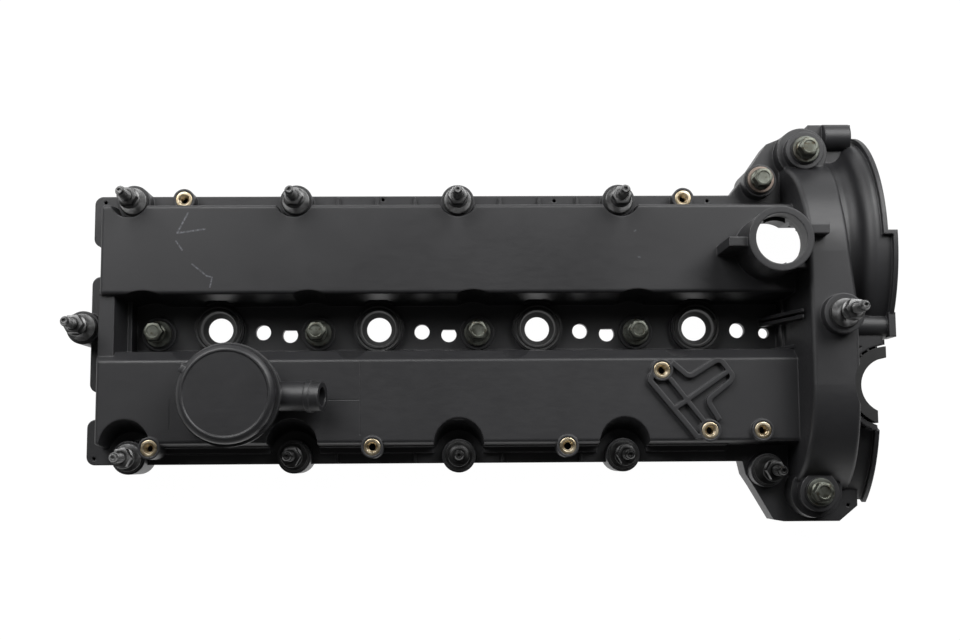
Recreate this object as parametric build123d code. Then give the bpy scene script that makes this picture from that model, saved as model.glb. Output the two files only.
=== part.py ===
from build123d import *
import math
import os

os.makedirs("parts", exist_ok=True)

# All sizes are millimetres. X runs along the engine towards the chain end, Y across it, Z up.
# The origin is midway between the second and third injectors, on the plane that meets the head.

# Engine layout
bore_pitch = 96.0
cylinder_count = 4
cam_half_span = 44.0

# Levels above the sealing plane
seal_lift = 2.0
valley_floor_top = 6.7
flange_top = 20.0
boss_top = 30.0
ridge_top = 42.0
case_top = 67.0
neck_top = 80.0

# Walls and moulding draft
wall = 3.0
draft_angle = 5.5
ridge_edge_radius = 2.2
case_edge_radius = 2.5
fit_gap = 0.05

# Flange outline
flange_back = 79.5
flange_front = -80.8
flange_left = -217.5
flange_waist = -209.5
flange_corner = 11.0
tab_corner = 5.0
case_right = 236.0
case_flange_back = 115.0
case_flange_front = -116.3

# Cam ridges, sizes at their tops
ridge_left = -207.8
upper_ridge_front = 17.8
upper_ridge_back = 70.1
lower_ridge_front = -69.1
lower_ridge_back = -16.1
lower_ridge_right = 200.3
shoulder_width = 5.0
shoulder_drop = 6.0
front_step_top = 24.0
front_step_y = -75.0
front_ledge_top = 30.0
front_ledge_y = -72.0
front_step_right = 160.0
bridge_top = 38.5
bridge_left = -209.0
bridge_right = -200.0
valley_left = -194.0
valley_end_right = 194.0
valley_half = 19.0

# Chain case
case_left = 194.0
case_arc_radius = 62.0
case_arc_half_span = 38.0
case_arc_rise = 5.0
case_draft = 5.0
case_wall_x = 222.0
foot_back = 123.0
foot_left = 214.0
foot_right = 240.0
barrel_radius = 8.0
barrel_left = 222.5
barrel_right = 238.0

# Wheel shroud, a curved band round the end of the upper camshaft
shroud_radius = 72.0
shroud_drop = 8.0
shroud_channel_radius = 62.0
shroud_channel_right = 227.0
shroud_crest_left = 239.5
shroud_sway = 2.4
shroud_sag = 1.6
shroud_turn = 140.0
shroud_right = 245.0
shroud_step = 5.5
shroud_step_y = 50.0
shroud_end_y = 2.0
lip_height = 3.2
lip_width = 2.5
shroud_wall = 3.0

# Level screw boss at the end of the shroud
screw_boss_y = -3.3
screw_boss_z = 46.0
screw_boss_radius = 6.9
screw_hole_radius = 2.5
screw_hole_depth = 16.0

# Curved apron past the notch, as (y, z) from top to bottom
apron_points = ((-62.0, 43.0), (-86.0, 31.0), (-104.0, 12.0))
apron_right = 242.5

# Half-round notch beside the case
notch_x = 247.0
notch_y = -38.0
notch_radius = 23.7
notch_top = 50.0
notch_bottom = 34.0
notch_lip = 3.5
notch_seal_inner = 16.0
notch_seal_proud = 2.0
notch_rib_depth = 1.1
notch_rib_width = 1.2
notch_rib_count = 13
notch_rib_spread = 150.0
notch_arm_back_x = 246.0
notch_arm_front_x = 240.0

# Fastener places
stud_back_y = 74.4
stud_front_y = -76.5
left_stud = (-220.1, -0.4)
corner_stud = (180.8, -86.1)
case_stud = (216.0, 1.4)
case_stud_boss_top = 75.0
valley_bolt_offset = -36.4
valley_bolt_y = -2.4
valley_boss_top = 8.7
case_bolt_back_inner = (181.3, 86.6)
case_bolt_back = (207.5, 103.7)
case_bolt_back_top = 36.0
case_bolt_front = (208.4, -98.7)
case_bolt_front_top = 40.0

# Hollows that clear the studs in the ridge sides
back_scallop_radius = 11.5
front_scallop_radius = 14.6
front_scallop_top_y = -69.8

# Boss, grommet, sleeve and bolt sizes
boss_radius = 9.8
case_boss_radius = 11.4
case_post_foot = 55.0
sleeve_hole_radius = 4.8
grommet_radius = 8.7
grommet_height = 1.4
sleeve_radius = 4.5
sleeve_bore_radius = 3.3
sleeve_flange_radius = 8.0
sleeve_flange_height = 1.5
sleeve_foot = 0.5
bolt_radius = 2.65
hex_across_flats = 10.0
hex_height = 6.0
hex_collar_radius = 6.3
hex_collar_height = 1.5
head_lift = 8.5
long_head_lift = 12.0
case_head_lift = 0.0
valley_head_lift = 7.6
bolt_foot = 0.4
stud_length = 16.4
stud_radius = 3.0
stud_tip_length = 2.0
stud_tip_radius = 2.2

# Injector rings and their seals
injector_ring_radius = 15.0
injector_ring_top = 11.6
injector_bore_radius = 12.6
injector_foot_radius = 11.0
injector_foot_top = 5.0
seal_flange_radius = 14.2
seal_flange_height = 1.4
seal_throat_radius = 10.2
seal_throat_foot = 7.0
seal_lip_radius = 7.4
seal_lip_top = 4.6
seal_lip_thickness = 1.2
seal_lip_root = 10.4
glow_hole_a = (26.0, -1.5)
glow_hole_b = (42.3, -3.2)
glow_hole_radius = 4.6
end_hole_radius = 3.2
glow_hole_flat = 3.1

# Tool reliefs in the valley walls
bolt_relief_offset = -2.8
bolt_relief_low = 19.0
bolt_relief_radius = 22.3
injector_relief_radius = 17.4
injector_relief_top = 24.0
clamp_relief_offset = -14.8
clamp_relief_y = -6.0
clamp_relief_low = 8.0
clamp_relief_radius = 14.6
clamp_relief_depth = 22.0

# Gaskets and the lands beside their grooves
gasket_inset = 3.0
gasket_width = 3.0
gasket_groove_depth = 5.0
gasket_land = 1.6
land_top = 10.0
fastener_land = 3.8
valley_gasket_left = -202.0
valley_gasket_right = 195.0
valley_gasket_half = 15.1
valley_gasket_width = 2.2
valley_groove_depth = 3.0
valley_gasket_corner = 5.0

# Oil filler neck
neck_x = 180.7
neck_y = 43.0
neck_radius = 18.4
neck_bore_radius = 14.4
neck_bore_length = 12.0
neck_throat_radius = 15.6
neck_throat_foot = 36.0
neck_opening_top = 60.0
neck_opening_half = 13.0
neck_opening_reach = 24.3
neck_lug_thickness = 5.4
neck_lug_top = 76.0
neck_lug_left = 28.7
neck_lug_right = 28.8
bayonet_radius = 12.8
bayonet_bottom = 62.0
bayonet_top = 65.0
bayonet_width = 12.0

# Crankcase breather housing, valve and lid
breather_x = -129.5
breather_y = -41.7
breather_floor = 44.0
breather_rim = 62.0
breather_radius = 26.6
breather_rim_radius = 29.4
breather_rim_height = 4.5
breather_cavity_radius = 23.6
throat_radius = 6.5
throat_wall = 2.0
throat_seat = 58.6
vent_hole_radius = 3.4
vent_hole_reach = 14.0
stub_height = 45.1
stub_tilt = 14.0
stub_turn = -1.3
stub_radius = 8.4
stub_bore_radius = 5.4
stub_inner_wall = 1.6
stub_length = 54.2
bead_radius = 9.1
bead_width = 3.0
bead_setback = 5.5
cap_radius = 27.8
cap_height = 10.0
cap_disc_radius = 25.2
cap_wall = 2.4
cap_lug_angle = 150.0
cap_lug_width = 5.0
cap_lug_reach = 1.7
cap_lug_height = 5.0
diaphragm_thickness = 1.2
diaphragm_rim_radius = 26.6
diaphragm_clamp_width = 2.6
cap_stop_radius = 5.0
cap_stop_gap = 0.3
cap_chamfer = 2.2
cap_vent_radius = 0.8
plate_radius = 13.0
plate_height = 1.2
plate_stem_radius = 3.4
plate_stem_length = 4.0
spring_mean_radius = 4.9
spring_wire_radius = 0.45
spring_turns = 5
spring_end_gap = 0.05

# Oil separator box and its welded baffle under the front ridge
baffle_top = 27.0
baffle_thickness = 2.0
baffle_left = -186.0
baffle_right = 60.0
baffle_front = -56.0
baffle_back = -24.2
baffle_wall = 2.0
baffle_corner = 4.0
baffle_slot_count = 6
baffle_slot_pitch = 9.0
baffle_slot_width = 3.0
baffle_slot_length = 22.0
baffle_drain_radius = 3.0

# Cross ribs under the ridge roofs
roof_rib_x = (-168.0, -120.0, -72.0, -24.0, 24.0, 72.0, 120.0)
roof_rib_height = 6.0
roof_rib_width = 2.0

# Brass inserts
insert_radius = 4.9
insert_bore_radius = 2.5
insert_length = 10.0
insert_groove_depth = 0.5
insert_groove_width = 1.6
insert_boss_radius = 6.4
back_insert_x = (-162.5, 134.8)
back_insert_y = 75.8
front_insert_x = (-177.6, -49.9, 62.8)
front_insert_y = -71.3
front_insert_top = 42.3
pad_insert = (117.7, -28.0)
accessory_insert_x = (144.8, 175.4)
accessory_insert_y = -63.0
pad_height = 3.0
pad_rib_width = 3.0
pad_inner_rib_width = 2.6
pad_outer_left = ((112.6, -29.2), (110.5, -33.8), (137.5, -66.7), (143.3, -66.2))
pad_outer_right = (
    (123.5, -23.4),
    (133.7, -32.2),
    (151.4, -21.1),
    (159.8, -32.8),
    (143.5, -45.5),
    (150.5, -57.1),
)
pad_inner = (((122.1, -32.7), (141.8, -58.2)), ((125.2, -50.0), (157.0, -28.2)))

# Small ribs across the flange channel
back_rib_x = (-71.8, -48.7, -25.7, 25.5, 49.1, 71.9)
front_rib_x = (-72.0, -25.9, 25.9, 72.0)
flange_rib_width = 1.4
flange_rib_height = 2.5

# Locating pin holes in the flange
pin_holes = ((-211.2, 75.9), (-45.0, 77.3), (58.3, 76.4), (151.1, 76.1), (-214.6, -77.0), (230.4, -107.0))
pin_hole_radius = 1.0
pin_hole_depth = 6.0

# Gussets at the chain end of the valley, each as (y, foot x, top)
gusset_places = ((1.5, 183.0, 60.0), (5.0, 183.0, 60.0), (-14.0, 187.0, 38.0))
gusset_width = 2.0


def draft_growth(height):
    """How far a drafted wall moves out over a height."""
    return height * math.tan(math.radians(draft_angle))


def cylinder(x, y, radius, z0, z1):
    """An upright cylinder between two levels."""
    return Pos(x, y, z0) * Cylinder(radius, z1 - z0, align=(Align.CENTER, Align.CENTER, Align.MIN))


def cone(x, y, radius_low, radius_high, z0, z1):
    """An upright cone between two levels."""
    low_align = (Align.CENTER, Align.CENTER, Align.MIN)
    return Pos(x, y, z0) * Cone(radius_low, radius_high, z1 - z0, align=low_align)


def block(x0, x1, y0, y1, z0, z1):
    """A box between two corners."""
    low_align = (Align.MIN, Align.MIN, Align.MIN)
    return Pos(x0, y0, z0) * Box(x1 - x0, y1 - y0, z1 - z0, align=low_align)


def rounded_rectangle(x0, x1, y0, y1, radius):
    """A flat rounded rectangle between two corners."""
    return Pos((x0 + x1) / 2, (y0 + y1) / 2) * RectangleRounded(x1 - x0, y1 - y0, radius)


def plan_from(*points):
    """A flat face from its corners in either order, facing along +Z of its plane."""
    face = Polygon(*points, align=None)
    if face.face().normal_at().Z < 0:
        face = Polygon(*reversed(points), align=None)
    return face


def revolved(*profile_points):
    """A solid of revolution about Z from (radius, height) points."""
    return revolve(Plane.XZ * plan_from(*profile_points), Axis.Z)


injector_x = [(k - (cylinder_count - 1) / 2) * bore_pitch for k in range(cylinder_count)]
stud_column_x = [(k - cylinder_count / 2) * bore_pitch for k in range(cylinder_count)]
valley_bolt_x = [x + valley_bolt_offset for x in injector_x]

back_studs = [(x, stud_back_y, boss_top) for x in stud_column_x]
front_studs = [(x, stud_front_y, boss_top) for x in stud_column_x]
edge_studs = back_studs + [(*left_stud, boss_top)] + front_studs + [(*corner_stud, boss_top)]
valley_bolts = [(x, valley_bolt_y, valley_boss_top) for x in valley_bolt_x]
case_bolts = [
    (*case_bolt_back_inner, boss_top),
    (*case_bolt_back, case_bolt_back_top),
    (*case_bolt_front, case_bolt_front_top),
]
edge_fasteners = edge_studs + case_bolts

# Each place for a fastener is (x, y, boss top, sleeve foot, head lift)
stud_places = [(*place, 0.0, head_lift) for place in back_studs]
stud_places.append((*left_stud, boss_top, 0.0, long_head_lift))
stud_places += [(*place, 0.0, head_lift) for place in front_studs]
stud_places.append((*corner_stud, boss_top, 0.0, long_head_lift))
stud_places.append((*case_stud, case_stud_boss_top, case_post_foot, long_head_lift))
bolt_places = [(*place, 0.0, valley_head_lift) for place in valley_bolts]
bolt_places += [(*place, 0.0, case_head_lift) for place in case_bolts]

back_inserts = [(x, back_insert_y, boss_top) for x in back_insert_x]
front_inserts = [(x, front_insert_y, front_insert_top) for x in front_insert_x]
pad_top = ridge_top + pad_height
top_inserts = [(*pad_insert, pad_top)]
top_inserts += [(x, accessory_insert_y, pad_top) for x in accessory_insert_x]
all_inserts = back_inserts + front_inserts + top_inserts


def flange_outline():
    """The flat outline of the sealing flange with its bosses."""
    main = rounded_rectangle(flange_waist, case_left, flange_front, flange_back, tab_corner)
    waist_y = cam_half_span - 5.0
    top_tab = rounded_rectangle(flange_left, ridge_left + 10, waist_y + 10, flange_back, tab_corner)
    mid_tab = rounded_rectangle(flange_left - 0.5, ridge_left + 10, -waist_y + 1, waist_y - 8, tab_corner)
    low_tab = rounded_rectangle(flange_left - 1.5, ridge_left + 10, flange_front, -waist_y - 15, tab_corner)
    case_points = [
        (165, flange_back - 20),
        (165, flange_back),
        (174, 91),
        (188, 111),
        (198, case_flange_back),
        (case_right, case_flange_back),
        (case_right, case_flange_front + 9),
        (case_right - 11, case_flange_front),
        (192, case_flange_front),
        (186, case_flange_front + 1),
        (174.5, -95.4),
        (170, -88.4),
        (168.3, flange_front),
        (168.3, flange_front + 20),
    ]
    case_base = plan_from(*case_points)
    outline = main + top_tab + mid_tab + low_tab + case_base
    for x, y, _ in edge_fasteners:
        outline += Pos(x, y) * Circle(boss_radius)
    return outline


def ridge_plan(x0, x1, y0, y1, at_height, inset):
    """A ridge's flat section at a height, from its size at the top."""
    grow = draft_growth(ridge_top - at_height) - inset
    return rounded_rectangle(x0 - grow, x1 + grow, y0 - grow, y1 + grow, 5.0)


def drafted(plan, z0, z1):
    """Extrude a flat section upward with the moulding draft."""
    return extrude(Pos(0, 0, z0) * plan, z1 - z0, taper=draft_angle)


def case_profile(radius):
    """The arched section of the chain case across the engine."""
    floor = Pos(0, -100) * Rectangle(400, 200 + 2 * seal_lift)
    circles = Pos(case_arc_half_span, case_arc_rise) * Circle(radius)
    circles += Pos(-case_arc_half_span, case_arc_rise) * Circle(radius)
    circles += Pos(0, case_arc_rise + radius / 2) * Rectangle(2 * case_arc_half_span, radius)
    return circles - floor


def case_plan(inset):
    """The plan of the chain case at the sealing plane."""
    points = [
        (case_left, 106),
        (226, 106),
        (226.5, 68),
        (229, 34),
        (232, 8),
        (232, -92),
        (228, -108),
        (case_left, -108),
    ]
    plan = plan_from(*points)
    return offset(plan, -inset) if inset else plan


def case_solid(inset):
    """The chain case as a drafted prism cut to its arched section."""
    height = case_top + 10 - seal_lift
    prism = extrude(Pos(0, 0, seal_lift) * case_plan(inset), height, taper=case_draft)
    reach = case_arc_radius - inset
    arch = extrude(Plane.YZ.offset(case_left - 5) * case_profile(reach), 60)
    return prism & arch


def upper_ridge(inset):
    """The ridge over the back camshaft, or its cavity when inset."""
    plan = ridge_plan(ridge_left, case_left + 12, upper_ridge_front, upper_ridge_back, seal_lift, inset)
    return drafted(plan, seal_lift, ridge_top - inset)


def lower_ridge(inset):
    """The ridge over the front camshaft, or its cavity when inset."""
    right = lower_ridge_right if not inset else case_left + 12
    plan = ridge_plan(ridge_left - 1, right, lower_ridge_front, lower_ridge_back, seal_lift, inset)
    ridge = drafted(plan, seal_lift, ridge_top - inset)
    edge = lower_ridge_back - inset
    top = ridge_top - inset
    shoulder = plan_from(
        (edge - shoulder_width, top),
        (edge + 4, top - shoulder_drop * (shoulder_width + 4) / shoulder_width),
        (edge + 8, top + 4),
        (edge - shoulder_width, top + 4),
    )
    cutter = extrude(Plane.YZ.offset(-260) * shoulder, 520)
    return ridge - cutter


def front_scallop(x, grow):
    """The leaning hollow round one front stud."""
    rise = ridge_top - flange_top
    lean = math.degrees(math.atan2(front_scallop_top_y - stud_front_y, rise))
    leaning = Pos(x, stud_front_y, flange_top) * Rot(-lean, 0, 0)
    return leaning * cylinder(0, 0, front_scallop_radius + grow, -2 * rise, 2 * rise)


def scallop_cuts():
    """Hollows in the ridge sides round the edge studs, down to the flange."""
    above = block(-300, 300, -200, 0, flange_top, ridge_top + 5)
    cuts = [cylinder(x, y, back_scallop_radius, flange_top, ridge_top + 5) for x, y, _ in back_studs]
    return cuts + [front_scallop(x, 0) & above for x, _, _ in front_studs]


def injector_reliefs(grow):
    """Room for the injector bodies low in both valley walls."""
    radius = injector_relief_radius + grow
    low = injector_ring_top - wall - grow
    return [cylinder(x, 0, radius, low, injector_relief_top + grow) for x in injector_x]


def bolt_reliefs(grow):
    """Room for a socket over the valley bolts, in the back ridge only."""
    low = valley_floor_top - grow
    keep = block(-300, 300, 0, upper_ridge_back, low, ridge_top + grow)
    radii = (bolt_relief_low + grow, bolt_relief_radius + grow)
    cuts = [
        cone(x + bolt_relief_offset, valley_bolt_y, *radii, low, ridge_top + grow)
        for x in valley_bolt_x
    ]
    return [cut & keep for cut in cuts]


def clamp_reliefs(grow):
    """Room for the injector clamps, in the front ridge only."""
    low = ridge_top - clamp_relief_depth - grow
    radii = (clamp_relief_low + grow, clamp_relief_radius + grow)
    return [
        cone(x + clamp_relief_offset, clamp_relief_y, *radii, low, ridge_top + grow)
        for x in injector_x
    ]


def eased_top(solid):
    """Round the edges of a ridge's flat top."""
    return fillet(solid.faces().sort_by(Axis.Z)[-1].edges(), ridge_edge_radius)


def ridges():
    """Both cam ridges with their scallops, reliefs and rounded top edges."""
    back = eased_top(upper_ridge(0))
    front = eased_top(lower_ridge(0))
    back -= scallop_cuts() + injector_reliefs(0) + bolt_reliefs(0)
    front -= scallop_cuts() + injector_reliefs(0) + clamp_reliefs(0)
    return back, front


def shroud_band(inner, outer, x0, x1, y0, y1):
    """A stretch of curved band round the end of the upper camshaft."""
    ring = Pos(cam_half_span, -shroud_drop) * (Circle(outer) - Circle(inner))
    window = Pos((y0 + y1) / 2, (seal_lift + 90) / 2) * Rectangle(y1 - y0, 90 - seal_lift)
    return extrude(Plane.YZ.offset(x0) * (ring & window), x1 - x0)


def shroud_sweep():
    """The shroud's own curved wall, turned about the upper camshaft."""
    channel = shroud_channel_radius
    left = case_wall_x - 6
    mid_x = (shroud_channel_right + shroud_crest_left) / 2
    mid_radius = (channel + shroud_radius) / 2
    middle = (mid_x, mid_radius)
    crest = (shroud_crest_left, shroud_radius)
    outside = Line((left, channel), (shroud_channel_right, channel))
    outside += ThreePointArc(outside @ 1, (mid_x - shroud_sway, channel + shroud_sag), middle)
    outside += ThreePointArc(middle, (mid_x + shroud_sway, shroud_radius - shroud_sag), crest)
    outside += Polyline(
        (shroud_crest_left, shroud_radius),
        (shroud_right - lip_width, shroud_radius),
        (shroud_right - lip_width, shroud_radius + lip_height),
        (shroud_right, shroud_radius + lip_height),
        (shroud_right, shroud_radius - wall),
        (shroud_crest_left, shroud_radius - wall),
        (mid_x + shroud_sway, mid_radius - wall),
        (shroud_channel_right + shroud_sag, channel - wall),
        (left, channel - wall),
        (left, channel),
    )
    centre = (0, cam_half_span, -shroud_drop)
    section = Plane(centre, x_dir=(1, 0, 0), z_dir=(0, 0, 1)) * make_face(outside)
    return revolve(section, Axis(centre, (1, 0, 0)), shroud_turn)


def shroud():
    """The curved shroud with its raised lip and its stepped outer rim."""
    inner = shroud_radius - shroud_wall
    tip = shroud_radius + lip_height
    outer_x = shroud_right + shroud_step
    window = block(case_wall_x - 10, outer_x, shroud_end_y, foot_back, seal_lift, ridge_top + 40)
    body = shroud_sweep() & window
    edge_x = shroud_right - lip_width
    body += shroud_band(inner, shroud_radius, edge_x, outer_x, shroud_end_y, shroud_step_y)
    body += shroud_band(inner, tip, outer_x - lip_width, outer_x, shroud_end_y, shroud_step_y)
    body += shroud_band(inner, tip, edge_x, outer_x, shroud_step_y - lip_width, shroud_step_y)
    trough_x = outer_x - lip_width
    lip_y = shroud_step_y - lip_width
    return body - shroud_band(shroud_radius, tip + 1, edge_x - 1, trough_x, shroud_end_y - 1, lip_y)


def end_flange_foot():
    """The thick foot where the shroud meets the flange at the back corner."""
    foot = block(foot_left, foot_right, case_flange_back - 6, foot_back, seal_lift, flange_top)
    barrel = Pos(barrel_left, foot_back - barrel_radius, flange_top) * Rot(0, 90, 0)
    return foot + barrel * cylinder(0, 0, barrel_radius, 0, barrel_right - barrel_left)


def end_screw_boss():
    """The level screw boss at the end of the shroud, with its square pad."""
    boss = Pos(case_wall_x, screw_boss_y, screw_boss_z) * Rot(0, 90, 0)
    outer_x = shroud_right + shroud_step
    solid = boss * cylinder(0, 0, screw_boss_radius, 0, outer_x - case_wall_x)
    pad_y0 = screw_boss_y - screw_boss_radius
    solid += block(outer_x - 3, outer_x + 0.8, pad_y0, shroud_end_y + 2, screw_boss_z - 8, screw_boss_z + 9)
    web_front = notch_y + notch_radius - 1
    web = block(case_wall_x, shroud_right, web_front, screw_boss_y, notch_bottom, notch_top)
    return solid + web


def front_apron():
    """The curved plate past the notch that closes the front corner of the end."""
    low = apron_points[-1]
    mid = apron_points[1]
    high = apron_points[0]
    outer = ThreePointArc(high, mid, low)
    inner = ThreePointArc(*[(y + 1.0, z - wall) for y, z in apron_points])
    band = make_face(outer + Line(outer @ 1, inner @ 1) + inner + Line(inner @ 0, outer @ 0))
    plate = extrude(Plane.YZ.offset(case_wall_x - 4) * band, apron_right - case_wall_x + 4)
    lip_outer = ThreePointArc(*[(y - 1.5, z + lip_height) for y, z in apron_points])
    lip_face = make_face(lip_outer + Line(lip_outer @ 1, inner @ 1) + inner + Line(inner @ 0, lip_outer @ 0))
    lip = extrude(Plane.YZ.offset(apron_right - lip_width) * lip_face, lip_width)
    return plate + lip


def bosses():
    """All fastener bosses, valley bosses and injector rings."""
    parts = [cylinder(x, y, boss_radius, seal_lift, top) for x, y, top in edge_studs]
    parts.append(cylinder(*case_bolt_back_inner, boss_radius, seal_lift, boss_top))
    for (x, y), top in ((case_bolt_back, case_bolt_back_top), (case_bolt_front, case_bolt_front_top)):
        parts.append(cone(x, y, case_boss_radius + 5, case_boss_radius + 3.6, seal_lift, top - 7))
        parts.append(cylinder(x, y, case_boss_radius, seal_lift, top))
    parts.append(cylinder(*case_stud, case_boss_radius, case_top - 8, case_stud_boss_top))
    parts += [cylinder(x, y, boss_radius + 0.5, seal_lift, top) for x, y, top in valley_bolts]
    parts += [cylinder(x, 0, injector_ring_radius, seal_lift, injector_ring_top) for x in injector_x]
    return parts


def insert_posts():
    """Posts that hold the brass inserts."""
    parts = [cylinder(x, y, insert_boss_radius, flange_top - 2, top) for x, y, top in back_inserts]
    for x, y, top in front_inserts:
        parts.append(cylinder(x, y, insert_boss_radius, flange_top - 2, top))
    parts += [cylinder(x, y, insert_boss_radius, ridge_top - 14, top) for x, y, top in top_inserts]
    return parts


def neck():
    """The oil filler neck with its two lugs."""
    parts = [cylinder(neck_x, neck_y, neck_radius, ridge_top - 5, neck_top)]
    half = neck_lug_thickness / 2
    left_y = neck_y - 1.0
    left_x = neck_x - neck_lug_left
    parts.append(block(left_x, neck_x - 10, left_y - half, left_y + half, ridge_top - 2, neck_lug_top))
    right_y = neck_y + 6.5
    parts.append(
        block(
            neck_x + 10,
            neck_x + neck_lug_right,
            right_y - half,
            right_y + half,
            case_top - 4,
            neck_lug_top - 2,
        )
    )
    return parts


def along_stub(solid):
    """A solid along Z laid on the hose stub's rising axis."""
    return Pos(breather_x, breather_y, stub_height) * Rot(0, 0, stub_turn) * Rot(0, 90 - stub_tilt, 0) * solid


def beside_breather(low):
    """The space above a level on the hose side of the breather's middle."""
    far_x = breather_x + 2 * stub_length
    return block(breather_x, far_x, breather_y - 40, breather_y + 40, low, breather_rim + 20)


def breather_housing():
    """The outside of the breather cup and its hose stub."""
    low = ridge_top - 4
    rim_low = breather_rim - breather_rim_height
    parts = [
        cone(breather_x, breather_y, breather_radius + 1.5, breather_radius, low, rim_low),
        cylinder(breather_x, breather_y, breather_rim_radius, rim_low, breather_rim),
    ]
    lug = Pos(breather_x, breather_y) * Rot(0, 0, cap_lug_angle)
    parts.append(lug * block(20, breather_rim_radius + 2, -2.6, 2.6, rim_low, breather_rim))
    bead_end = stub_length - bead_setback
    stub = cylinder(0, 0, stub_radius, 0, stub_length)
    stub += cylinder(0, 0, bead_radius, bead_end - bead_width, bead_end)
    parts.append(along_stub(stub) & beside_breather(ridge_top - 1))
    return parts


def breather_cuts():
    """The inside of the breather cup: valve chamber, throat, outlet and vent holes."""
    chamber = cylinder(breather_x, breather_y, breather_cavity_radius, breather_floor, breather_rim + 1)
    throat_outside = throat_radius + throat_wall
    chamber -= cylinder(breather_x, breather_y, throat_outside, breather_floor - 1, throat_seat)
    chamber -= along_stub(cylinder(0, 0, stub_bore_radius + stub_inner_wall, 0, breather_radius))
    cuts = [chamber]
    cuts.append(cylinder(breather_x, breather_y, throat_radius, breather_floor, throat_seat + 1))
    conduit = along_stub(cylinder(0, 0, stub_bore_radius, 0, stub_length + 1))
    cuts.append(conduit & beside_breather(breather_floor))
    for angle in (60, 120, 180, 240, 300):
        spot = Pos(breather_x, breather_y) * Rot(0, 0, angle) * Pos(vent_hole_reach, 0)
        cuts.append(spot * cylinder(0, 0, vent_hole_radius, ridge_top - 6, breather_floor + 1))
    return cuts


def pad_ribs():
    """The rib pad on the front ridge."""
    outer_left = FilletPolyline(*pad_outer_left, radius=2.5)
    outer_right = FilletPolyline(*pad_outer_right, radius=4.0)
    ribs = trace(outer_left, pad_rib_width) + trace(outer_right, pad_rib_width)
    for rib in pad_inner:
        ribs += trace(Line(*rib), pad_inner_rib_width)
    return extrude(Pos(0, 0, ridge_top - 1) * ribs, pad_height + 1)


def flange_ribs():
    """Small ribs across the flange channel at both sides."""
    half = flange_rib_width / 2
    low, high = flange_top - 1, flange_top + flange_rib_height
    parts = [block(x - half, x + half, upper_ridge_back, flange_back - 0.6, low, high) for x in back_rib_x]
    edge_y = flange_front + 0.6
    parts += [block(x - half, x + half, edge_y, lower_ridge_front, low, high) for x in front_rib_x]
    return parts


def front_steps():
    """The two low steps along the foot of the front ridge."""
    steps = []
    for y, top in ((front_step_y, front_step_top), (front_ledge_y, front_ledge_top)):
        plan = rounded_rectangle(ridge_left + 2, front_step_right, y, lower_ridge_front + 5, 3.0)
        steps.append(drafted(plan, flange_top - 1, top) - scallop_cuts())
    return steps


def bridge():
    """The wall that joins both ridges at the left end of the valley."""
    section = plan_from(
        (bridge_left - draft_growth(bridge_top - valley_floor_top), valley_floor_top),
        (bridge_left, bridge_top),
        (bridge_right, bridge_top),
        (valley_left, valley_floor_top),
    )
    reach = valley_half + 2
    return extrude(Plane.XZ.offset(-reach) * section, 2 * reach)


def gussets():
    """Thin gussets that stand between the end of the valley and the chain case."""
    low = valley_floor_top - 1
    parts = []
    for y, foot_x, top in gusset_places:
        triangle = plan_from((foot_x, low), (case_left + wall, low), (case_left + wall, top))
        parts.append(extrude(Plane.XZ.offset(-y - gusset_width / 2) * triangle, gusset_width))
    return parts


def shell_outside():
    """The outer form of the moulding, before its cavities and holes."""
    body = extrude(Pos(0, 0, seal_lift) * outline, flange_top - seal_lift)
    body -= block(valley_left, valley_end_right, -valley_half, valley_half, valley_floor_top, flange_top + 1)
    back, front = ridges()
    body += [back, front, bridge()] + front_steps()
    body += rounded_case()
    body += gussets()
    body += shroud() + end_flange_foot()
    body += end_screw_boss() + front_apron()
    body += bosses() + neck() + breather_housing()
    body += pad_ribs()
    body += flange_ribs()
    return body


def rounded_case():
    """The chain case with its long end edges rounded."""
    solid = case_solid(0)
    edges = [e for e in solid.edges() if e.bounding_box().size.Y > 20 and e.center().Z > flange_top]
    try:
        return fillet(edges, case_edge_radius)
    except ValueError:
        return solid


def corner_beyond(inner, outer, side, reach):
    """The corner of the case flange beyond two of its fasteners, made larger by a reach."""
    far_x = case_right + 30
    far_y = side * 160
    corner = plan_from(inner, outer, (far_x, outer[1]), (far_x, far_y), (inner[0], far_y))
    return offset(corner, reach)


def perimeter_region(inset):
    """The flange outline brought in by an inset and passing inside the fasteners."""
    region = offset(outline, -inset)
    reach = sleeve_hole_radius + fastener_land + inset - gasket_inset
    for x, y, _ in edge_studs:
        region -= Pos(x, y) * Circle(reach)
    region -= corner_beyond(case_bolt_back_inner, case_bolt_back, 1, reach)
    region -= corner_beyond(corner_stud, case_bolt_front, -1, reach)
    return region


def valley_region(grow):
    """The outline of the valley gasket made larger all round."""
    half = valley_gasket_half + grow
    left = valley_gasket_left - grow
    return rounded_rectangle(left, valley_gasket_right + grow, -half, half, valley_gasket_corner + grow)


def ring_between(outer, inner, z0, z1):
    """The solid between two flat outlines and two levels."""
    return extrude(Pos(0, 0, z0) * (outer - inner), z1 - z0)


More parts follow.
